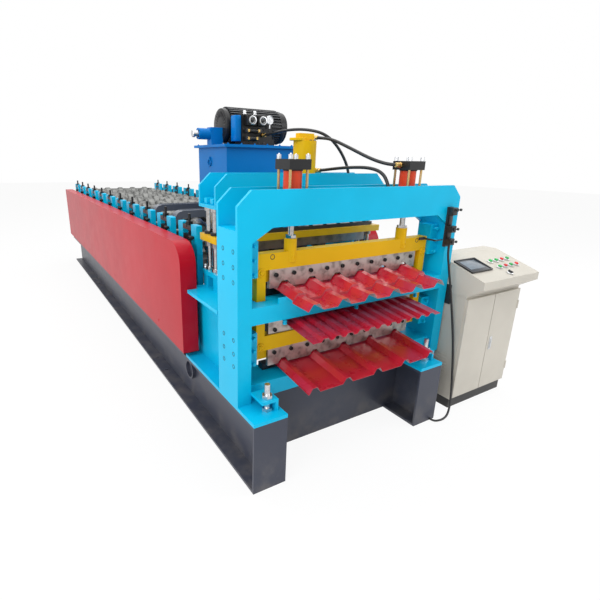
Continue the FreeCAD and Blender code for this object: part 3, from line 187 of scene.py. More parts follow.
# %% A finish and the nodes it is made of
class Finish:
    """A material that is built from expressions and ends in one Principled shader."""

    def __init__(self, name, **numbers):
        self.material = bpy.data.materials.new(name)
        self.material.use_nodes = True
        self.nodes = self.material.node_tree.nodes
        self.links = self.material.node_tree.links
        self.shader = self.nodes["Principled BSDF"]
        self.put(**numbers)

    def put(self, **values):
        """Sets sockets of the shader. base_color becomes Base Color, and so on."""
        for name, value in values.items():
            self.give(self.shader.inputs[name.replace("_", " ").title().replace("Ior", "IOR")], value)
        return self

    def give(self, socket, value):
        if isinstance(value, Wire):
            self.links.new(value.socket, socket)
        elif isinstance(value, (tuple, list)) and len(value) == 3 and socket.type == "RGBA":
            socket.default_value = (*value, 1)
        else:
            socket.default_value = value

    def add(self, kind, settings, values, out=0):
        node = self.nodes.new(kind)
        for name, value in settings.items():
            setattr(node, name, value)
        for key, value in values.items():
            self.give(node.inputs[key], value)
        return Wire(self, node.outputs[out])

    def place(self, stretch=(1, 1, 1)):
        """Object coordinates, stretched along each axis."""
        spot = self.add("ShaderNodeTexCoord", {}, {}, "Object")
        return self.add("ShaderNodeMapping", {}, {"Vector": spot, "Scale": stretch})

    def along(self, axis):
        """One object coordinate, in metres."""
        spot = self.add("ShaderNodeTexCoord", {}, {}, "Object")
        return self.add("ShaderNodeSeparateXYZ", {}, {0: spot}, axis)

    def noise(self, scale, detail=2.0, stretch=(1, 1, 1)):
        return self.add("ShaderNodeTexNoise", {}, {"Vector": self.place(stretch), "Scale": scale,
                                                   "Detail": detail, "Roughness": 0.55})

    def mix(self, factor, one, other):
        """A colour between two others."""
        node = self.nodes.new("ShaderNodeMix")
        node.data_type = "RGBA"
        for index, value in ((0, factor), (6, one), (7, other)):
            self.give(node.inputs[index], value)
        return Wire(self, node.outputs[2])

    def bump(self, height, depth, strength=1.0):
        return self.add("ShaderNodeBump", {}, {"Height": height, "Distance": depth, "Strength": strength})


def shade(colour, factor):
    return tuple(channel * factor for channel in colour)


# %% [markdown]
# Sprayed enamel covers most of the machine. Real enamel is never one flat colour: the coat is a little
# uneven, it has a fine orange peel, dust gathers low down, and parts near the floor are dull with grime.
# One function makes all the enamels, and each colour gives its own gloss and amount of dust.

# %% Sprayed enamel
DUST = (0.30, 0.27, 0.23)


def enamel(name, colour, gloss=0.28, dust=0.25, dust_top=0.5, peel=1.0, coat=0.06, shine=0.28):
    finish = Finish(name, coat_weight=coat, coat_roughness=0.12, specular_ior_level=shine)
    cloud = finish.noise(1.7, 3)
    patch = finish.noise(9.0, 4)
    grain = finish.noise(260.0, 2)
    low = 1 - finish.along("Z").smooth(0.0, dust_top)
    specks = finish.noise(38.0, 5).smooth(0.62, 0.8) * (dust * 0.35)
    settled = (low * patch.smooth(0.35, 0.75) * dust + specks).clamp()
    coat = finish.mix(cloud.smooth(0.3, 0.7), shade(colour, 0.93), shade(colour, 1.05))
    return finish.put(base_color=finish.mix(settled, coat, DUST),
                      roughness=(settled * 0.5 + patch * 0.10 + (gloss - 0.05)).clamp(),
                      normal=finish.bump(grain * peel + cloud * 2, 0.00012)).material


LIGHT_BLUE = (0.001, 0.455, 0.720)
MID_BLUE = (0.000, 0.165, 0.510)
SLATE = (0.046, 0.051, 0.074)
HOOP_GREY = (0.080, 0.092, 0.120)
COVER_RED = (0.440, 0.006, 0.018)
FRAME_YELLOW = (0.740, 0.440, 0.004)
CYLINDER_RED = (0.720, 0.055, 0.014)
CREAM = (0.530, 0.500, 0.440)
BLACK = (0.012, 0.012, 0.013)

light_blue_enamel = enamel("light_blue_enamel", LIGHT_BLUE, gloss=0.34, dust=0.10, coat=0.03, shine=0.16)
mid_blue_enamel = enamel("mid_blue_enamel", MID_BLUE, gloss=0.36, dust=0.08, coat=0.03, shine=0.10)
slate_enamel = enamel("slate_enamel", SLATE, gloss=0.40, dust=0.22, dust_top=0.30)
hoop_enamel = enamel("hoop_enamel", HOOP_GREY, gloss=0.30, dust=0.05, coat=0.2, shine=0.5)
red_enamel = enamel("red_enamel", COVER_RED, gloss=0.34, dust=0.10, dust_top=0.9, coat=0.08, shine=0.08)
orange_enamel = enamel("orange_red_enamel", CYLINDER_RED, gloss=0.25, dust=0.05)
yellow_enamel = enamel("yellow_enamel", FRAME_YELLOW, gloss=0.40, dust=0.10, coat=0.02, shine=0.12)
cream_powder = enamel("cream_powder_coat", CREAM, gloss=0.45, dust=0.10, peel=5.0)
black_enamel = enamel("black_enamel", BLACK, gloss=0.35, dust=0.10)
print("enamels made")

# %% [markdown]
# Bare metals differ mostly in how they were cut. A turned roll has fine rings round its axis, a ground
# blade has straight lines down its face, and a zinc plated bolt is smooth but blotched.

# %% Bare metals
def turned_steel(name, colour, rough=0.22):
    finish = Finish(name, metallic=1.0)
    rings = finish.noise(900.0, 1, stretch=(1, 0.02, 0.02))
    stain = finish.noise(14.0, 4)
    return finish.put(base_color=finish.mix(stain.smooth(0.42, 0.68), colour, shade(colour, 0.42)),
                      roughness=stain * 0.18 + rings * 0.08 + (rough - 0.10),
                      normal=finish.bump(rings, 0.00015, 0.5)).material


def ground_steel(name, colour, rough=0.30):
    finish = Finish(name, metallic=1.0)
    lines = finish.noise(420.0, 2, stretch=(1, 1, 0.03))
    stain = finish.noise(22.0, 5)
    return finish.put(base_color=finish.mix(stain.smooth(0.42, 0.72), colour, shade(colour, 0.45)),
                      roughness=stain * 0.25 + lines * 0.10 + (rough - 0.12),
                      normal=finish.bump(lines, 0.0001, 0.4)).material


def plated_steel(name, colour, other, rough=0.28):
    finish = Finish(name, metallic=1.0)
    blotch = finish.noise(60.0, 3)
    return finish.put(base_color=finish.mix(blotch.smooth(0.4, 0.65), colour, other),
                      roughness=blotch * 0.15 + (rough - 0.07)).material


def oiled_steel(name, colour, rough=0.42):
    finish = Finish(name, metallic=0.75, coat_weight=0.2, coat_roughness=0.2)
    oil = finish.noise(25.0, 5)
    return finish.put(base_color=finish.mix(oil.smooth(0.35, 0.7), colour, shade(colour, 2.2)),
                      roughness=oil * 0.3 + (rough - 0.15),
                      normal=finish.bump(finish.noise(180.0, 3), 0.0002)).material


roll_steel = turned_steel("turned_roll_steel", (0.185, 0.187, 0.180), rough=0.36)
blade_steel = ground_steel("ground_blade_steel", (0.47, 0.425, 0.395), rough=0.34)
chromed_steel = plated_steel("hard_chrome", (0.50, 0.49, 0.48), (0.40, 0.38, 0.37), rough=0.18)
zinc_steel = plated_steel("yellow_zinc", (0.62, 0.48, 0.26), (0.50, 0.42, 0.30))
bright_steel = plated_steel("bright_zinc", (0.66, 0.67, 0.68), (0.52, 0.53, 0.55))
brass = plated_steel("brass_fitting", (0.70, 0.46, 0.14), (0.58, 0.40, 0.16), rough=0.25)
dark_steel = oiled_steel("dark_oiled_steel", (0.035, 0.034, 0.036))
print("metals made")

# %% [markdown]
# The press slide is one stack: a yellow plate with a blackened clamp above it and a bare die below.
# The solid is one piece, so its finish changes with height, read from the piece's own coordinates.

# %% Finish of the press slide
SLIDE_PLATE = (1.1795, 1.2225)


def slide_finish():
    finish = Finish("press_slide_finish", coat_weight=0.2, coat_roughness=0.2)
    height = finish.along("Z")
    above, plate = height > SLIDE_PLATE[1], height > SLIDE_PLATE[0]
    patch = finish.noise(12.0, 4)
    die = finish.mix(patch.smooth(0.4, 0.7), (0.30, 0.29, 0.29), (0.17, 0.16, 0.16))
    paint = finish.mix(patch.smooth(0.3, 0.8), FRAME_YELLOW, shade(FRAME_YELLOW, 0.9))
    return finish.put(base_color=finish.mix(above, finish.mix(plate, die, paint), BLACK),
                      metallic=(1 - plate) * 0.9, roughness=patch * 0.15 + 0.28,
                      normal=finish.bump(finish.noise(200.0, 2), 0.0001)).material


press_slide_finish = slide_finish()

# %% Finish of the tie rods
CAP_TOP = 1.667


def tie_rod_finish():
    """Yellow zinc on the rods and bright zinc on the nuts above the cap."""
    finish = Finish("tie_rod_finish", metallic=1.0)
    blotch = finish.noise(60.0, 3)
    rod = finish.mix(blotch.smooth(0.4, 0.65), (0.60, 0.40, 0.16), (0.50, 0.38, 0.20))
    nut = finish.mix(blotch.smooth(0.4, 0.65), (0.70, 0.71, 0.72), (0.52, 0.53, 0.55))
    return finish.put(base_color=finish.mix(finish.along("Z") > CAP_TOP, rod, nut),
                      roughness=blotch * 0.15 + 0.2).material


tie_finish = tie_rod_finish()

# %% [markdown]
# Plastics and rubber are simple: a dark body, a little unevenness, and the right gloss.

# %% Plastics, rubber and the coated sheet
def moulded(name, colour, rough=0.4, grain=0.0001):
    finish = Finish(name)
    fleck = finish.noise(320.0, 2)
    worn = finish.noise(18.0, 3)
    return finish.put(base_color=finish.mix(worn.smooth(0.4, 0.8), colour, shade(colour, 1.5)),
                      roughness=worn * 0.15 + (rough - 0.07), normal=finish.bump(fleck, grain)).material


black_plastic = moulded("black_plastic", (0.014, 0.014, 0.015))
black_rubber = moulded("black_rubber", (0.010, 0.010, 0.011), rough=0.42)
glass_black = moulded("display_glass", (0.030, 0.036, 0.045), rough=0.12, grain=0.0)
display_grey = moulded("display_face", (0.14, 0.17, 0.20), rough=0.14, grain=0.0)
red_plastic = moulded("red_button", (0.62, 0.010, 0.012), rough=0.2)
green_plastic = moulded("green_button", (0.004, 0.34, 0.06), rough=0.2)

SHEET_RED = (0.430, 0.008, 0.026)
SHEET_BACK = (0.40, 0.40, 0.41)


def coated_sheet():
    """Red coil coating on top and a grey primer underneath."""
    finish = Finish("coated_roofing_sheet", coat_weight=0.5, coat_roughness=0.08)
    normal = finish.add("ShaderNodeNewGeometry", {}, {}, "Normal")
    upward = finish.add("ShaderNodeSeparateXYZ", {}, {0: normal}, "Z").smooth(-0.15, 0.05)
    film = finish.noise(6.0, 3)
    red = finish.mix(film.smooth(0.35, 0.7), SHEET_RED, shade(SHEET_RED, 1.2))
    return finish.put(base_color=finish.mix(upward, SHEET_BACK, red), roughness=film * 0.12 + 0.22).material


coated = coated_sheet()

# %% [markdown]
# Each solid of the model keeps its shape and only swaps its plain material for one of the finishes.
# A few pieces differ from the rest of their slot, such as the orange tubes of the cutter's cylinders.

# %% Give every solid its finish
FINISHES = {
    "slate_paint": slate_enamel, "light_blue_paint": light_blue_enamel, "blue_paint": mid_blue_enamel,
    "yellow_paint": yellow_enamel, "red_paint": red_enamel, "red_sheet": coated, "black_paint": black_enamel,
    "cream_paint": cream_powder, "dark_steel": dark_steel, "ground_steel": blade_steel,
    "chromed_steel": chromed_steel, "roll_steel": roll_steel, "zinc_plated_steel": zinc_steel,
    "black_plastic": black_plastic, "button_plastic": red_plastic, "black_rubber": black_rubber,
}
OWN_FINISHES = {
    "cylinder_tubes": orange_enamel, "levelling_studs": bright_steel, "press_slide": press_slide_finish,
    "tank_rails": hoop_enamel, "tie_rods": tie_finish,
}
for part in frame["record"]["subparts"]:
    mesh = frame["nodes"][part["node"]].data
    mesh.materials.clear()
    mesh.materials.append(OWN_FINISHES.get(part["node"], FINISHES[part["material_slot"]]))
print(len(frame["nodes"]), "solids finished")

# %% [markdown]
# The cords were drawn first and get their rubber now. Each is hung on the machine and takes the place of
# its part in the model.

cord_pieces = {"switch_cable": (cable, CABLE_ROUTE, CABLE_RADIUS)}
cord_pieces.update({name: (hoses[name], route, HOSE_RADIUS) for name, route in HOSE_ROUTES.items()})
for name, (piece, route, radius) in cord_pieces.items():
    piece.data.materials.append(black_rubber)
    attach(piece, ROOT)
    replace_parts(piece, name)
    at(*route[0])
    2 * radius

# %% [markdown]
# Most fittings are turned or milled, so one small workshop class is enough: it spins a profile round
# an axis or cuts a block with soft edges, all into one mesh.

# %% A small workshop for solid pieces
AXES = {
    "X": Matrix.Rotation(math.radians(90), 4, "Y"), "-X": Matrix.Rotation(math.radians(-90), 4, "Y"),
    "Y": Matrix.Rotation(math.radians(-90), 4, "X"), "-Y": Matrix.Rotation(math.radians(90), 4, "X"),
    "Z": Matrix.Identity(4), "-Z": Matrix.Rotation(math.radians(180), 4, "X"),
}
MILLIMETRE = 0.001


class Piece:
    """A mesh in the making. Sizes are in millimetres, and places come from at()."""

    def __init__(self):
        self.mesh = bmesh.new()

    def spin(self, profile, place=(0, 0, 0), axis="Z", sides=24):
        """Spins (radius, height) pairs round an axis. A radius of 0 closes an end."""
        frame_of_axis = Matrix.Translation(place) @ AXES[axis]
        rings = []
        for radius, height in profile:
            turns = [2 * math.pi * k / sides for k in range(sides if radius else 1)]
            spots = [Vector((radius * math.cos(turn), radius * math.sin(turn), height)) for turn in turns]
            rings.append([self.mesh.verts.new(frame_of_axis @ (MILLIMETRE * spot)) for spot in spots])
        for low, high in zip(rings, rings[1:]):
            for k in range(sides):
                after = (k + 1) % sides
                around = ((low, k), (low, after), (high, after), (high, k))
                corners = [ring[turn % len(ring)] for ring, turn in around]
                self.mesh.faces.new(list(dict.fromkeys(corners)))
        return self

    def block(self, low, high, soft=0.0, turn=None):
        """A block between two corners, with its edges rounded by soft millimetres."""
        low, high = Vector(low), Vector(high)
        size = Matrix.Diagonal((*(high - low), 1))
        place = Matrix.Translation((low + high) / 2) @ (turn or Matrix.Identity(4)) @ size
        made = bmesh.ops.create_cube(self.mesh, size=1, matrix=place)["verts"]
        if soft:
            edges = {edge for vert in made for edge in vert.link_edges}
            bmesh.ops.bevel(self.mesh, geom=list(edges), offset=soft * MILLIMETRE, segments=2, profile=0.5,
                            affect="EDGES")
        return self

    def done(self, name, material, body=ROOT, slot=None, angle=35):
        bmesh.ops.recalc_face_normals(self.mesh, faces=self.mesh.faces)
        data = bpy.data.meshes.new(name)
        self.mesh.to_mesh(data)
        self.mesh.free()
        data.shade_smooth()
        data.set_sharp_from_angle(angle=math.radians(angle))
        data.materials.append(material)
        piece = bpy.data.objects.new(name, data)
        bpy.context.collection.objects.link(piece)
        if body:
            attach(piece, body)
            print(name, len(data.polygons), "faces on", body)
        return piece


# %% [markdown]
# Fasteners repeat by the dozen. Geometry Nodes place one shape at many points: the tree below takes the
# shape, its size, the way it points and a random twist, so that no two hexagons line up too neatly.
# The result is turned into a plain mesh and the modifier goes away again.

# %% The tree that places fasteners
def fastener_tree():
    tree = bpy.data.node_groups.new("fasteners_at_points", "GeometryNodeTree")
    for label, kind in (("Points", "Geometry"), ("Shape", "Object"), ("Size", "Float"), ("Turn", "Vector"),
                        ("Twist", "Float"), ("Finish", "Material")):
        tree.interface.new_socket(label, in_out="INPUT", socket_type="NodeSocket" + kind)
    tree.interface.new_socket("Result", in_out="OUTPUT", socket_type="NodeSocketGeometry")

    def node(kind, **links):
        made = tree.nodes.new(kind)
        for key, value in links.items():
            socket = made.inputs[key.replace("_", " ")]
            if isinstance(value, bpy.types.NodeSocket):
                tree.links.new(value, socket)
            else:
                socket.default_value = value
        return made

    given = node("NodeGroupInput").outputs
    shape = node("GeometryNodeObjectInfo", Object=given["Shape"]).outputs["Geometry"]
    points = node("GeometryNodeMeshToPoints", Mesh=given["Points"]).outputs["Points"]
    chance = tree.nodes.new("FunctionNodeRandomValue")
    tree.links.new(given["Twist"], chance.inputs[3])
    chance.inputs["Seed"].default_value = 7
    spun = node("ShaderNodeCombineXYZ", Z=chance.outputs[1])
    twist = node("FunctionNodeEulerToRotation", Euler=spun.outputs[0])
    aim = node("FunctionNodeEulerToRotation", Euler=given["Turn"])
    turned = node("FunctionNodeRotateRotation", Rotation=aim.outputs[0], Rotate_By=twist.outputs[0])
    turned.rotation_space = "LOCAL"
    copies = node("GeometryNodeInstanceOnPoints", Points=points, Instance=shape, Rotation=turned.outputs[0],
                  Scale=given["Size"])
    real = node("GeometryNodeRealizeInstances", Geometry=copies.outputs[0])
    coloured = node("GeometryNodeSetMaterial", Geometry=real.outputs[0], Material=given["Finish"])
    result = tree.nodes.new("NodeGroupOutput")
    tree.links.new(coloured.outputs[0], result.inputs["Result"])
    return tree


FASTENERS = fastener_tree()


# %% Turn a tree's result into a plain piece
def plain_piece(name, start, tree, values, body):
    modifier = start.modifiers.new("nodes", "NODES")
    modifier.node_group = tree
    sockets = {item.name: item.identifier for item in tree.interface.items_tree if item.in_out == "INPUT"}
    for label, value in values.items():
        modifier[sockets[label]] = value
    bpy.context.view_layer.update()
    evaluated = start.evaluated_get(bpy.context.evaluated_depsgraph_get())
    mesh = bpy.data.meshes.new_from_object(evaluated)
    mesh.name = name
    start.modifiers.remove(modifier)
    start.data = mesh
    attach(start, body)
    print(name, len(mesh.polygons), "faces on", body)
    return start


def repeat(name, shape, places, finish, axis="Z", size=1.0, twist=0.0, body=ROOT):
    """Places a shape at every point, pointing along an axis."""
    dots = bpy.data.meshes.new(name + "_points")
    dots.from_pydata([tuple(place) for place in places], [], [])
    start = bpy.data.objects.new(name, dots)
    bpy.context.collection.objects.link(start)
    bpy.context.collection.objects.link(shape)
    values = {"Shape": shape, "Size": size, "Turn": tuple(AXES[axis].to_euler()), "Twist": twist,
              "Finish": finish}
    piece = plain_piece(name, start, FASTENERS, values, body)
    bpy.context.collection.objects.unlink(shape)
    return piece


# %% [markdown]
# The shapes that repeat are made once, each pointing up: a socket screw with its recess, a short and a long
# hexagon bolt, a domed nut, a sunk plug, a boss with a pin and a bolt with a round head.

# %% Shapes of the fasteners
def template(name, *spins):
    piece = Piece()
    for profile, sides in spins:
        piece.spin(profile, sides=sides)
    made = piece.done(name, black_enamel, body=None)
    bpy.context.collection.objects.unlink(made)
    return made


SOCKET_SCREW = template(
    "socket_screw", ([(0, 0), (12, 0), (12, 7), (11, 8), (6.5, 8), (6.0, 7.5), (6.0, 3), (0, 3)], 18))
HEX_BOLT = template(
    "hex_bolt", ([(0, 0), (16, 0), (16, 2.4), (15.4, 3), (0, 3)], 20),
    ([(0, 2.5), (12.2, 2.5), (12.6, 3.2), (12.6, 9.5), (11.2, 11), (0, 11)], 6),
    ([(0, 10.5), (7, 10.5), (7, 15), (6, 16.5), (0, 16.5)], 14))
LONG_BOLT = template(
    "long_bolt", ([(0, -2), (7, -2), (7, 26), (0, 26)], 14),
    ([(0, 12), (12.6, 12), (12.6, 20), (11.4, 21.5), (0, 21.5)], 6),
    ([(0, 24), (12, 24), (12.6, 25), (12.6, 33), (11.4, 34), (0, 34)], 6))
DOMED_NUT = template(
    "domed_nut", ([(0, 0), (15, 0), (15, 2), (0, 2)], 20),
    ([(0, 1.5), (12.6, 1.5), (12.6, 11), (11.5, 12), (0, 12)], 6),
    ([(0, 11), (10, 11), (9.6, 15), (7.8, 18.5), (4.6, 21), (0, 22)], 16))
PLUG = template(
    "recess_plug", ([(0, -1), (11, -1), (11, 0.6), (10, 1), (8.5, 1), (8.0, -0.4), (0, -0.4)], 18))
BOSS = template(
    "boss_with_pin", ([(0, -1), (19, -1), (19, 3), (17.5, 4.5), (14.5, 4.5), (13.5, 3), (0, 3)], 28),
    ([(0, 2), (9, 2), (9, 6), (8, 7), (0, 7)], 18))
ROUND_BOLT = template(
    "round_bolt", ([(0, -2), (9, -2), (9, 14), (0, 14)], 16),
    ([(0, 12), (14.2, 12), (15, 13), (15, 33), (14, 34.5), (8, 34.5), (7.4, 34), (7.4, 27), (0, 27)], 20))
print("fastener shapes made")

# %% [markdown]
# The top rolls show best of all the working parts. On the real line each is a shaft with turned rings
# that form the ribs of the sheet, growing towards the cutter. A lathe does the same job here: one profile
# is spun round the shaft, with rounded crests, sloped flanks and a seam where each ring meets its spacer.

# %% Turn the top rolls
RING_PITCH = 205
RING_FOOT, RING_CREST = 50, 33
BARREL_RADIUS, SHAFT_RADIUS, SHAFT_REACH, ROLL_HALF = 71.5, 30, 699, 539
RING_RISE = 31.5
STATION_FIRST, STATION_PITCH, STATION_COUNT = 1120, 487, 11
ROLL_AXIS = 1115


def roll_profile(crest):
    profile = [(0, -SHAFT_REACH), (SHAFT_RADIUS - 2, -SHAFT_REACH), (SHAFT_RADIUS, -SHAFT_REACH + 2),
               (SHAFT_RADIUS, -ROLL_HALF - 8), (44, -ROLL_HALF - 8), (46, -ROLL_HALF - 6), (46, -ROLL_HALF),
               (BARREL_RADIUS - 3, -ROLL_HALF), (BARREL_RADIUS, -ROLL_HALF + 3)]
    for ring in range(-2, 3):
        x = ring * RING_PITCH
        flank = [(BARREL_RADIUS, RING_FOOT + 14), (BARREL_RADIUS - 2.5, RING_FOOT + 13),
                 (BARREL_RADIUS - 2.5, RING_FOOT + 11), (BARREL_RADIUS, RING_FOOT + 10),
                 (BARREL_RADIUS + 1.5, RING_FOOT), (BARREL_RADIUS + 0.35 * crest, RING_CREST + 9),
                 (BARREL_RADIUS + crest - 5, RING_CREST + 2), (BARREL_RADIUS + crest - 1, RING_CREST - 2),
                 (BARREL_RADIUS + crest, RING_CREST - 7)]
        profile += [(radius, x - half) for radius, half in flank]
        profile += [(radius, x + half) for radius, half in reversed(flank)]
    profile += [(BARREL_RADIUS, ROLL_HALF - 3), (BARREL_RADIUS - 3, ROLL_HALF), (46, ROLL_HALF),
                (46, ROLL_HALF + 6), (44, ROLL_HALF + 8), (SHAFT_RADIUS, ROLL_HALF + 8),
                (SHAFT_RADIUS, SHAFT_REACH - 2), (SHAFT_RADIUS - 2, SHAFT_REACH), (0, SHAFT_REACH)]
    return profile


for index in range(STATION_COUNT):
    growth = 0.55 + 0.45 * (STATION_COUNT - 1 - index) / (STATION_COUNT - 1)
    axis_place = at(0, STATION_FIRST + STATION_PITCH * index, ROLL_AXIS)
    piece = Piece().spin(roll_profile(RING_RISE * growth), axis_place, "X", sides=40)
    node_name = f"top_roll_{index + 1:02d}"
    body_name = f"roll_{index + 1:02d}"
    roll = piece.done("turned_" + body_name, roll_steel, body_name, "roll_steel", angle=28)
    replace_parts(roll, node_name)

# %% [markdown]
# Each roll stand carries a round black head on its outer face, which locks the bearing block sideways,
# and two socket screws in its yoke. They repeat at every station and side.

# %% Screws on the roll stands
stations = [STATION_FIRST + STATION_PITCH * index for index in range(STATION_COUNT)]
for side, sign, axis in (("left", -1, "-X"), ("right", 1, "X")):
    places = [at(sign * 680, y - 119, 1180) for y in stations]
    repeat(f"stand_screws_{side}", ROUND_BOLT, places, black_enamel, axis=axis)
for name, offset in (("yoke_screws", 52), ("yoke_screws_front", -52)):
    places = [at(x, y + offset, 1248) for y in stations for x in (-660, 660)]
    repeat(name, SOCKET_SCREW, places, black_enamel, size=0.8, twist=3.0)

# %% [markdown]
# The cutter's posts have rows of holes with sunk screws along their outer faces, and their guide blocks
# carry adjusting bolts that were sprayed with the rest. The blades are held by black socket screws.

# %% Screws on the cutter
POST_FACE = 795
POST_SCREW_LEVELS = (1243, 1167, 1091, 787, 711, 640)
for side, sign, axis in (("left", -1, "-X"), ("right", 1, "X")):
    places = [at(sign * POST_FACE, y, z) for y in (220, 330) for z in POST_SCREW_LEVELS]
    repeat(f"post_screws_{side}", PLUG, places, black_enamel, axis=axis, size=1.1)

GUIDE_FACE_Y, GUIDE_X = 242, 672
guide_levels = (1258, 1185, 1112, 768, 695, 622)
places = [at(sign * GUIDE_X, GUIDE_FACE_Y, z) for sign in (-1, 1) for z in guide_levels]
repeat("guide_bolts", LONG_BOLT, places, light_blue_enamel, axis="-Y", size=0.85, twist=1.0)

BLADE_FACE_Y, BLADE_SCREW_STEP = 272, 114
blade_rows = [(index - 4.5) * BLADE_SCREW_STEP for index in range(10)]
places = [at(x, BLADE_FACE_Y, z) for x in blade_rows for z in (1084, 636)]
places += [at(x, BLADE_FACE_Y, 772) for x in blade_rows]
repeat("blade_screws", SOCKET_SCREW, places, black_enamel, axis="-Y", twist=3.0)

FRAME_FACE_Y = 262
places = [at(x, FRAME_FACE_Y, z) for x, z in ((-610, 1108), (610, 1108), (-610, 690), (610, 690))]
repeat("frame_bosses", BOSS, places, yellow_enamel, axis="-Y", size=1.25)
places = [at(x, FRAME_FACE_Y, z) for x, z in ((-545, 1186), (545, 1186))]
repeat("frame_lock_screws", PLUG, places, dark_steel, axis="-Y", size=1.3)
SOCKET_FACE_Y = 253.5
places = [at(x, SOCKET_FACE_Y, 1172) for x in (-420, 420)]
repeat("socket_pins", PLUG, places, yellow_enamel, axis="-Y", size=1.2)

# %% [markdown]
# Domed nuts close the tie rods of the two cutter cylinders. The solid model has plain hexagon nuts, so the
# domes sit over them. A brass nut and a crimped sleeve sit where each hose enters.

# %% Bolts under the upper table
places = [at(x, 190, 866) for x in (-505, 0, 505)]
repeat("table_bolts", LONG_BOLT, places, light_blue_enamel, axis="-Z", twist=1.0)

# %% Nuts of the cylinders
NUT_TOP, TIE_HALF, RAM_Y, RAM_X = 1690, 52, 287, 420
places = [at(side * RAM_X + a * TIE_HALF, RAM_Y + b * TIE_HALF, NUT_TOP - 5)
          for side in (-1, 1) for a in (-1, 1) for b in (-1, 1)]
repeat("tie_rod_domes", DOMED_NUT, places, bright_steel, size=0.5, twist=1.0)

bands = Piece()
for side in (-1, 1):
    for z in (1441, 1616):
        bands.spin([(48.2, -0.8), (51, -0.8), (51.6, 0), (51.6, 5), (51, 6), (48.2, 6), (48.2, -0.8)],
                   at(side * RAM_X, RAM_Y, z - 3), sides=40)
bands.done("tube_seal_bands", black_enamel, slot="black_paint")

glands = Piece()
for side in (-1, 1):
    glands.spin([(16.4, 0), (26, 0), (26, 9), (24, 12), (18, 12), (16.4, 10), (16.4, 0)],
                at(side * RAM_X, RAM_Y, 1365), sides=28)
glands.done("rod_glands", dark_steel, slot="dark_steel")

# %% Fittings at the hose ends
def hose_end(piece, place, axis):
    """A brass nut and a crimped sleeve over the end of a hose."""
    piece.spin([(0, 0), (15.5, 0), (16.5, 1.5), (16.5, 13), (15.5, 14.5), (0, 14.5)], place, axis, sides=6)
    piece.spin([(0, 14), (12.5, 14), (12.5, 18), (14, 19.5), (14, 24), (13.2, 25), (13.2, 27), (14, 28),
                (14, 33), (13.2, 34), (13.2, 36), (14, 37), (14, 45), (12.6, 47), (0, 47)], place, axis, sides=22)


ends = Piece()
hose_end(ends, at(95, 825, 1808), "X")
hose_end(ends, at(355, 287, 1645), "-X")
hose_end(ends, at(135, 825, 1602), "X")
hose_end(ends, at(355, 287, 1420), "-X")
hose_end(ends, at(120, 1505, 1850), "-Y")
hose_end(ends, at(135, 825, 1450), "X")
ends.done("hose_fittings", brass, slot="zinc_plated_steel")

# %% [markdown]
# Behind the cutter stands the press. Its columns have black clamping collars, the slide is bolted
# through its clamp plate, and the bed rests on blocks with a bright bolt at each corner.

# %% Details of the press
SLIDE_TOP_Z, BED_TOP_Z, HEAD_LOW_Z = 1222, 992, 1385
places = [at(x, y, 1248) for x in range(-540, 541, 120) for y in (745, 905)]
repeat("slide_cap_nuts", HEX_BOLT, places, black_enamel, size=0.9, twist=1.0, body="press_ram")
places = [at(x, y, BED_TOP_Z) for x in (-645, 645) for y in (722, 900)]
repeat("press_bed_bolts", LONG_BOLT, places, bright_steel, twist=1.0)

collars = Piece()
for x in (-620, 620):
    for y in (790, 882):
        collars.spin([(20.5, 0), (33, 0), (34, 1), (34, 17), (33, 18), (20.5, 18), (20.5, 0)],
                     at(x, y, SLIDE_TOP_Z + 0.2), sides=32)
collars.done("slide_collars", black_enamel, body="press_ram", slot="black_paint")

bushes = Piece()
for x in (-620, 620):
    for y in (790, 882):
        for z, height in ((BED_TOP_Z, 22), (HEAD_LOW_Z - 22, 22)):
            bushes.spin([(20.2, 0), (29, 0), (30, 1), (30, height - 1), (29, height), (20.2, height),
                         (20.2, 0)], at(x, y, z), sides=32)
bushes.done("column_bushes", chromed_steel, slot="chromed_steel")

blocks = Piece()
for side in (-1, 1):
    for y in (770, 862):
        blocks.block(at(side * 620 - 26, y - 2, 1405), at(side * 620 + 26, y + 42, 1440), soft=3)
blocks.done("column_nuts", light_blue_enamel, slot="light_blue_paint")

flange = Piece()
flange.spin([(0, 0), (50, 0), (52, 2), (52, 14), (50, 16), (0, 16)], at(-20, 825, 1785), sides=36)
flange.done("press_cylinder_cover", yellow_enamel, slot="yellow_paint")
BOLT_CIRCLE = 62
places = [at(40 + BOLT_CIRCLE * math.cos(math.radians(a)), 825 + BOLT_CIRCLE * math.sin(math.radians(a)), 1785)
          for a in range(30, 390, 60)]
repeat("press_cylinder_bolts", SOCKET_SCREW, places, dark_steel, size=0.7, twist=2.0)

# %% [markdown]
# The motor is a cast housing with cooling ribs. A second tree sets ribs round an axis: it takes the number,
# the radius, the rib's own sizes and where the axis lies, which makes a pattern a lathe can't cut.

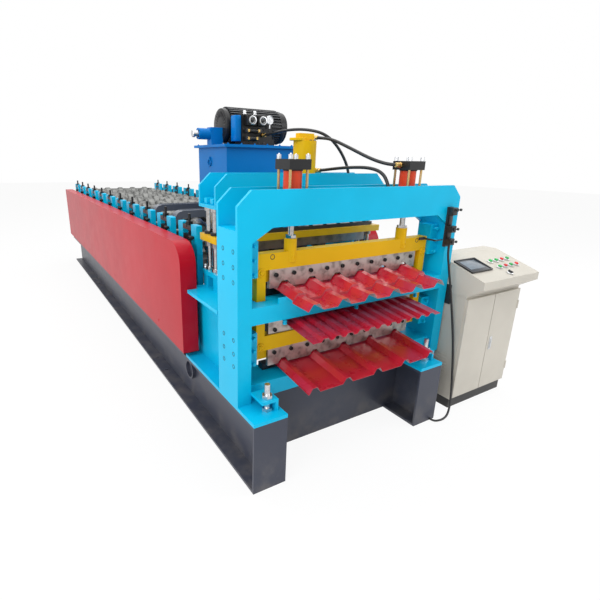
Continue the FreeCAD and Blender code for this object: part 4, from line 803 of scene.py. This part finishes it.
# %% The tree that sets ribs round an axis
def rib_tree():
    tree = bpy.data.node_groups.new("ribs_round_an_axis", "GeometryNodeTree")
    for label, kind in (("Start", "Geometry"), ("Count", "Int"), ("Radius", "Float"), ("Rib", "Vector"),
                        ("Place", "Vector"), ("Turn", "Vector"), ("Finish", "Material")):
        tree.interface.new_socket(label, in_out="INPUT", socket_type="NodeSocket" + kind)
    tree.interface.new_socket("Result", in_out="OUTPUT", socket_type="NodeSocketGeometry")
    links = tree.links
    given = tree.nodes.new("NodeGroupInput").outputs
    circle = tree.nodes.new("GeometryNodeMeshCircle")
    links.new(given["Count"], circle.inputs["Vertices"])
    links.new(given["Radius"], circle.inputs["Radius"])
    rib = tree.nodes.new("GeometryNodeMeshCube")
    links.new(given["Rib"], rib.inputs["Size"])
    index = tree.nodes.new("GeometryNodeInputIndex")
    share = tree.nodes.new("ShaderNodeMath")
    share.operation = "DIVIDE"
    links.new(index.outputs[0], share.inputs[0])
    links.new(given["Count"], share.inputs[1])
    angle = tree.nodes.new("ShaderNodeMath")
    angle.operation = "MULTIPLY"
    angle.inputs[1].default_value = 2 * math.pi
    links.new(share.outputs[0], angle.inputs[0])
    spin = tree.nodes.new("ShaderNodeCombineXYZ")
    links.new(angle.outputs[0], spin.inputs["Z"])
    rotation = tree.nodes.new("FunctionNodeEulerToRotation")
    links.new(spin.outputs[0], rotation.inputs[0])
    copies = tree.nodes.new("GeometryNodeInstanceOnPoints")
    links.new(circle.outputs["Mesh"], copies.inputs["Points"])
    links.new(rib.outputs["Mesh"], copies.inputs["Instance"])
    links.new(rotation.outputs[0], copies.inputs["Rotation"])
    moved = tree.nodes.new("GeometryNodeTransform")
    links.new(copies.outputs[0], moved.inputs["Geometry"])
    links.new(given["Place"], moved.inputs["Translation"])
    links.new(given["Turn"], moved.inputs["Rotation"])
    real = tree.nodes.new("GeometryNodeRealizeInstances")
    links.new(moved.outputs[0], real.inputs[0])
    coloured = tree.nodes.new("GeometryNodeSetMaterial")
    links.new(real.outputs[0], coloured.inputs["Geometry"])
    links.new(given["Finish"], coloured.inputs["Material"])
    result = tree.nodes.new("NodeGroupOutput")
    links.new(coloured.outputs[0], result.inputs["Result"])
    return tree


RIBS = rib_tree()
MOTOR_Y, MOTOR_Z, MOTOR_RADIUS = 1750, 1925, 125
MOTOR_START, MOTOR_END = -125, 435


def ribs(name, count, radius, rib, place, axis, finish):
    start = bpy.data.objects.new(name, bpy.data.meshes.new(name))
    bpy.context.collection.objects.link(start)
    values = {"Count": count, "Radius": radius * MILLIMETRE, "Rib": tuple(size * MILLIMETRE for size in rib),
              "Place": tuple(place), "Turn": tuple(AXES[axis].to_euler()), "Finish": finish}
    return plain_piece(name, start, RIBS, values, ROOT)


# %% Motor with ribs, end shields and terminal box
motor_grey = enamel("motor_grey_enamel", (0.035, 0.037, 0.042), gloss=0.30, dust=0.05, coat=0.1, shine=0.5)
ribs("motor_ribs", 36, MOTOR_RADIUS + 5, (20, 6, 455), at(140, MOTOR_Y, MOTOR_Z), "X", motor_grey)
shields = Piece()
shields.spin([(0, 0), (112, 0), (124, 4), (128, 12), (128, 34), (126, 38), (100, 40), (0, 40)],
             at(MOTOR_START - 2, MOTOR_Y, MOTOR_Z), "X", 48)
shields.spin([(0, 0), (100, 0), (130, 2), (133, 6), (133, 34), (118, 54), (70, 66), (34, 70), (0, 70)],
             at(MOTOR_END - 66, MOTOR_Y, MOTOR_Z), "X", 48)
shields.done("motor_end_shields", black_enamel, slot="black_paint")
ribs("motor_fan_slots", 24, 84, (40, 5, 4), at(MOTOR_START - 3, MOTOR_Y, MOTOR_Z), "X", dark_steel)
terminal = Piece()
terminal.block(at(60, MOTOR_Y - 176, MOTOR_Z - 40), at(170, MOTOR_Y - 118, MOTOR_Z + 50), soft=5)
terminal.done("motor_terminal_box", motor_grey, slot="black_paint")
connector = Piece()
connector.spin([(0, 0), (26, 0), (26, 10), (20, 12), (20, 18), (24, 20), (24, 34), (19, 36), (19, 48),
                (12, 50), (12, 62), (0, 62)], at(437, MOTOR_Y, 1956), "X", 24)
connector.done("motor_air_bleed", bright_steel, slot="zinc_plated_steel")

# %% [markdown]
# In front of the motor stands the valve stack: a manifold with two solenoid valves that point at the
# viewer. Their bright rims and dark bores are the first thing one sees there, so they are turned pieces.

# %% Solenoid valves
VALVE_FACE_Y = 1505
solenoids, rims, plugs = Piece(), Piece(), Piece()
for x in (0, 92):
    solenoids.block(at(x - 38, VALVE_FACE_Y - 52, 1912), at(x + 38, VALVE_FACE_Y + 2, 1988), soft=5)
    rims.spin([(14, 0), (30, 0), (32, 2), (32, 12), (28, 14), (24, 14), (20, 8), (14, 6), (14, 0)],
              at(x, VALVE_FACE_Y - 50, 1950), "-Y", 32)
    plugs.spin([(0, 0), (14, 0), (14, 16), (10, 20), (0, 21)], at(x, VALVE_FACE_Y - 50, 1950), "-Y", 24)
solenoids.done("solenoid_coils", black_enamel, slot="black_paint")
rims.done("solenoid_rims", bright_steel, slot="zinc_plated_steel")
plugs.done("solenoid_plugs", black_plastic, slot="black_plastic")

gauge = Piece()
gauge.spin([(0, 0), (31, 0), (33, 2), (33, 14), (30, 16), (28, 13), (0, 13)], at(170, 1490, 1960), "-Y", 36)
gauge.spin([(0, 0), (7, 0), (7, 45), (0, 45)], at(170, 1482, 1900), "Z", 16)
gauge.done("pressure_gauge", bright_steel, slot="zinc_plated_steel")
caps = Piece()
for x, top in ((-20, 2008), (70, 2008)):
    caps.spin([(0, 0), (15, 0), (15, 10), (12, 12), (12, 16), (14, 18), (14, 26), (9, 30), (0, 30)],
              at(x, 1540, top - 14), "Z", 12)
caps.done("valve_cap_nuts", bright_steel, slot="zinc_plated_steel")
side_block = Piece()
side_block.block(at(-112, 1512, 1800), at(-64, 1592, 1985), soft=4)
side_block.done("valve_side_block", mid_blue_enamel, slot="blue_paint")
pipes, ferrules = Piece(), Piece()
for z, length in ((1878, 100), (1822, 84)):
    pipes.spin([(0, 0), (15, 0), (15, length), (13, length + 2), (0, length + 2)],
               at(-30, VALVE_FACE_Y - 22, z), "X", 22)
    pipes.block(at(-42, VALVE_FACE_Y - 38, z - 17), at(-26, VALVE_FACE_Y + 2, z + 17), soft=3)
    for x in (-26, -30 + length - 6):
        ferrules.spin([(14.6, 0), (18, 0), (19, 1), (19, 14), (18, 15), (14.6, 15), (14.6, 0)],
                      at(x, VALVE_FACE_Y - 22, z), "X", 6)
    pipes.block(at(length - 34, VALVE_FACE_Y - 38, z - 15), at(length - 8, VALVE_FACE_Y + 2, z + 15), soft=3)
pipes.done("manifold_pipes", black_rubber, slot="black_rubber")
ferrules.done("manifold_ferrules", brass, slot="zinc_plated_steel")
places = [at(x, VALVE_FACE_Y, z) for x in (-45, 0, 45, 90, 135, 180) for z in (1792, 1888)]
repeat("manifold_screws", SOCKET_SCREW, places, dark_steel, axis="-Y", size=0.6, twist=2.0)

# %% [markdown]
# The pump hangs on the motor's left end. It ends in a bright suction fitting inside four small screws. The
# tank has a lifting ring on each side, and screws along the edge of its lid.

# %% Pump end and tank fittings
PUMP_X, PUMP_Z = -321, 1855
suction = Piece()
suction.spin([(0, 0), (24, 0), (26, 2), (26, 14), (20, 16), (20, 26), (28, 28), (28, 44), (24, 48), (0, 48)],
             at(PUMP_X, MOTOR_Y, PUMP_Z), "-X", 24)
suction.done("pump_suction_fitting", bright_steel, slot="zinc_plated_steel")
places = [at(PUMP_X, MOTOR_Y + 32 * math.cos(math.radians(a)), PUMP_Z + 32 * math.sin(math.radians(a)))
          for a in range(45, 405, 90)]
repeat("pump_screws", SOCKET_SCREW, places, dark_steel, axis="-X", size=0.5)


def ring_path(radius, count=28):
    return [(radius * math.cos(2 * math.pi * k / count), radius * math.sin(2 * math.pi * k / count))
            for k in range(count)]


def shackle(piece, place, radius=26, thick=5):
    """A round ring of bar that hangs from a lug on the tank's side."""
    circle, section = ring_path(radius), ring_path(thick, 10)
    rows = [[piece.mesh.verts.new(place + MILLIMETRE * Vector((v, (radius + u) * c / radius,
                                                               (radius + u) * s / radius)))
             for u, v in section] for c, s in circle]
    for one, other in zip(rows, rows[1:] + rows[:1]):
        for k in range(len(section)):
            after = (k + 1) % len(section)
            piece.mesh.faces.new((one[k], other[k], other[after], one[after]))


rings = Piece()
for x in (-211, 501):
    shackle(rings, at(x, 1789, 1640))
    rings.block(at(x - 6, 1776, 1660), at(x + 6, 1802, 1684), soft=2)
rings.done("tank_lifting_rings", mid_blue_enamel, slot="blue_paint")
places = [at(x, y, 1775) for x in range(-200, 500, 115) for y in (1465, 2035)]
repeat("tank_lid_bolts", HEX_BOLT, places, mid_blue_enamel, size=0.6, twist=1.0)

# %% [markdown]
# The two hoops that carry the tank are bent channel with a raised bead along each top edge.

# %% Beads on the tank hoops
beads = Piece()
for y in (1444.5, 1931.5):
    for edge in (3, 85):
        beads.block(at(-585, y + edge - 3, 1297), at(585, y + edge + 3, 1303), soft=1.5)
beads.done("hoop_beads", hoop_enamel, slot="slate_paint")

# %% [markdown]
# The limit switches on the right post read a finger that is fixed to the cutter frame. Each switch has a
# roller arm, and covers close the rail between them.

# %% Finger and switch details
finger = Piece()
finger.block(at(560, 250, 1187), at(612, 262, 1204), soft=2)
finger.block(at(604, 168, 1189), at(612, 262, 1199), soft=2)
finger.spin([(0, 0), (4, 0), (4, 62), (0, 62)], at(610, 172, 1194), "X", 12)
finger.done("switch_finger", dark_steel, slot="dark_steel")
arms = Piece()
for z in (1185, 1265, 1385):
    arms.spin([(0, 0), (9, 0), (10, 1), (10, 7), (9, 8), (0, 8)], at(705, 120, z), "-Y", 18)
    arms.block(at(701, 113, z - 3), at(738, 117, z + 3), soft=1)
    arms.spin([(0, 0), (8, 0), (8, 9), (0, 9)], at(736, 120, z), "-Y", 18)
arms.block(at(683, 128, 1350), at(727, 161, 1398), soft=4)
arms.done("switch_arms", black_plastic, slot="black_plastic")
guard = Piece()
guard.block(at(688, 146, 1206), at(722, 161, 1246), soft=3)
guard.block(at(690, 150, 1286), at(720, 161, 1352), soft=3)
guard.done("switch_covers", black_plastic, slot="black_plastic")

# %% [markdown]
# The red covers are big plain faces of folded sheet. A few small screws low on them, painted over with the
# rest, give those faces a scale.

# %% Screws along the covers
for side, sign, axis in (("left", -1, "-X"), ("right", 1, "X")):
    places = [at(sign * 835, 1120 + 487 * index + 243.5, 520) for index in (0, 3, 6, 9)]
    repeat(f"cover_screws_{side}", PLUG, places, red_enamel, axis=axis, size=0.9)

# %% [markdown]
# The control desk has a slanted top with a touch screen and two rows of buttons. Their pieces are made in
# the slope's own frame, where the screen is flat, and one matrix lays them on the desk.

# %% The desk's slope
DESK_FRONT, DESK_LIP, DESK_RUN, DESK_RISE = -80, 952, 330, 108
DESK_ANGLE = math.atan2(DESK_RISE, DESK_RUN)


def on_desk(x, along, up):
    """A place on the slope: x from the middle of the machine, along the slope, and up from it."""
    y = DESK_FRONT + along * math.cos(DESK_ANGLE) - up * math.sin(DESK_ANGLE)
    z = DESK_LIP + along * math.sin(DESK_ANGLE) + up * math.cos(DESK_ANGLE)
    return at(x, y, z)


def desk_block(piece, x, along, up, size, soft=1.0):
    centre = on_desk(x, along, up)
    half = MILLIMETRE * Vector(size) / 2
    turn = Matrix.Rotation(DESK_ANGLE, 4, "X")
    piece.block(centre - half, centre + half, soft, turn)


# %% Screen and its frame
SCREEN_X, SCREEN_ALONG = 927.5, 185
bezel, glass, face = Piece(), Piece(), Piece()
for offset_x, offset_y, size in ((0, -73, (219, 10, 6)), (0, 73, (219, 10, 6)), (-106, 0, (10, 150, 6)),
                                 (106, 0, (10, 150, 6))):
    desk_block(bezel, SCREEN_X + offset_x, SCREEN_ALONG + offset_y, 9, size, soft=1.5)
bezel.done("screen_bezel", black_plastic, slot="black_plastic")
desk_block(glass, SCREEN_X, SCREEN_ALONG, 8.4, (200, 134, 2), soft=0.5)
glass.done("screen_glass", glass_black, slot="black_plastic")
desk_block(face, SCREEN_X - 6, SCREEN_ALONG + 4, 9.6, (150, 96, 1), soft=0.3)
face.done("screen_display", display_grey, slot="black_plastic")

# %% Buttons
BUTTON_X, BUTTON_ALONG, BUTTON_STEP, ROW_STEP = 1128, 120, 65, 75
RED_BUTTONS = {(0, 1), (0, 3), (1, 2)}
BUTTON_COLLAR = [(0, 0.2), (20, 0.2), (20.5, 1), (20.5, 9), (18, 12), (0, 12)]
BUTTON_CAP = [(0, 11), (13, 11), (13, 17), (11.5, 19), (6, 19.6), (0, 19.7)]
KEY_COLLAR = [(0, 0.2), (20, 0.2), (20.5, 1), (20.5, 8), (17, 11), (0, 11)]
button_colours = {"red": Piece(), "green": Piece(), "collar": Piece()}


def desk_spin(piece, profile, x, along, sides=24):
    """A turned piece that stands square on the slope."""
    start = len(piece.mesh.verts)
    piece.spin(profile, sides=sides)
    piece.mesh.verts.ensure_lookup_table()
    lay = Matrix.Translation(on_desk(x, along, 0)) @ Matrix.Rotation(DESK_ANGLE, 4, "X")
    for vert in piece.mesh.verts[start:]:
        vert.co = lay @ vert.co


for row in range(2):
    for column in range(4):
        x, along = BUTTON_X + column * BUTTON_STEP, BUTTON_ALONG + row * ROW_STEP
        colour = "red" if (row, column) in RED_BUTTONS else "green"
        desk_spin(button_colours["collar"], BUTTON_COLLAR, x, along)
        desk_spin(button_colours[colour], BUTTON_CAP, x, along)
KEY_X, KEY_ALONG = 1137, 45
desk_spin(button_colours["collar"], KEY_COLLAR, KEY_X, KEY_ALONG)
button_colours["collar"].done("button_collars", bright_steel, slot="zinc_plated_steel")
lever = Piece()
desk_block(lever, KEY_X, KEY_ALONG, 16, (8, 34, 11), soft=2)
lever.done("key_switch_lever", black_plastic, slot="black_plastic")
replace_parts(button_colours["red"].done("red_buttons", red_plastic, slot="button_plastic"), "push_buttons")
button_colours["green"].done("green_buttons", green_plastic, slot="button_plastic")

# %% Handle, cable inlet, louvres and folds of the cabinet
DOOR_FACE_Y = 11.7
handle = Piece()
handle.block(at(1136, DOOR_FACE_Y - 4, 392), at(1164, DOOR_FACE_Y, 490), soft=2)
handle.block(at(1143, DOOR_FACE_Y - 9, 404), at(1157, DOOR_FACE_Y - 3, 478), soft=2.5)
handle.done("door_handle", bright_steel, "door_right", "zinc_plated_steel")

inlet = Piece()
inlet.block(at(801, 138, 748), at(809, 204, 884), soft=2.5)
inlet.block(at(799.5, 146, 790), at(803, 196, 842), soft=1.5)
inlet.done("cabinet_cable_inlet", black_plastic, slot="black_plastic")
for side, x in (("left", 808), ("right", 1417)):
    slats = Piece()
    for z in range(240, 381, 23):
        slats.block(at(x - 3, 95, z), at(x + 3, 200, z + 9), soft=2.5)
    slats.done(f"cabinet_louvres_{side}", cream_powder, slot="cream_paint")
folds = Piece()
folds.block(at(802, -81, 899), at(1423, -76, 905), soft=1)
folds.block(at(806, 28, 826), at(1419, 31, 832), soft=1)
folds.done("desk_folds", cream_powder, slot="cream_paint")

# %% [markdown]
# The machine stands in a plain studio. The floor and the background are pale, and the light is broad
# and soft, so a colour renders about as it is written. Camera rays, mirror rays and clear rays see
# the background at full white, and the rays that light the object see it at a lower strength.

# %% Which rays see the white background
def white_rays(nodes, links):
    """1 for a camera, mirror or clear ray, and 0 for the rays that light the object."""
    rays = nodes.new("ShaderNodeLightPath")
    total = rays.outputs["Is Camera Ray"]
    for kind in ("Is Glossy Ray", "Is Transmission Ray"):
        larger = nodes.new("ShaderNodeMath")
        larger.operation = "MAXIMUM"
        links.new(total, larger.inputs[0])
        links.new(rays.outputs[kind], larger.inputs[1])
        total = larger.outputs[0]
    return total


# %% Floor
FLOOR_SIZE, FLOOR_WHITE = 60, 0.91
bpy.ops.mesh.primitive_plane_add(size=FLOOR_SIZE, location=(0, 0, -0.001))
floor = bpy.context.object
floor.name = "studio_floor"
floor_finish = Finish("studio_floor", roughness=0.9, specular_ior_level=0.1)
floor_finish.put(base_color=floor_finish.mix(floor_finish.noise(0.6), (0.84, 0.84, 0.84), (0.87, 0.87, 0.87)))
glow = floor_finish.nodes.new("ShaderNodeEmission")
blend = floor_finish.nodes.new("ShaderNodeMixShader")
share = floor_finish.nodes.new("ShaderNodeMath")
share.operation = "MULTIPLY"
share.inputs[1].default_value = FLOOR_WHITE
floor_finish.links.new(white_rays(floor_finish.nodes, floor_finish.links), share.inputs[0])
floor_finish.links.new(share.outputs[0], blend.inputs[0])
floor_finish.links.new(floor_finish.shader.outputs[0], blend.inputs[1])
floor_finish.links.new(glow.outputs[0], blend.inputs[2])
floor_finish.links.new(blend.outputs[0], floor_finish.nodes["Material Output"].inputs["Surface"])
floor.data.materials.append(floor_finish.material)


# %% Lamps and background
def lamp(name, place, turn, size, power):
    data = bpy.data.lights.new(name, "AREA")
    data.shape = "RECTANGLE"
    data.size, data.size_y = size
    data.energy = power
    light = bpy.data.objects.new(name, data)
    light.location = place
    light.rotation_euler = [math.radians(angle) for angle in turn]
    bpy.context.collection.objects.link(light)


lamp("roof_lamp", (0, 0, 7), (0, 0, 0), (9, 12), 520)
lamp("left_lamp", (-7, -5, 4.5), (62, 0, -55), (5, 4), 300)
lamp("right_lamp", (6, -6, 4), (62, 0, 45), (4, 3), 160)

world = bpy.data.worlds.new("studio")
bpy.context.scene.world = world
world.use_nodes = True
tree = world.node_tree
level = tree.nodes.new("ShaderNodeMapRange")
tree.links.new(white_rays(tree.nodes, tree.links), level.inputs[0])
level.inputs[3].default_value = 0.62
level.inputs[4].default_value = 1.0
background = tree.nodes["Background"]
background.inputs["Color"].default_value = (1, 1, 1, 1)
tree.links.new(level.outputs[0], background.inputs["Strength"])
bpy.context.scene.view_settings.view_transform = "Standard"
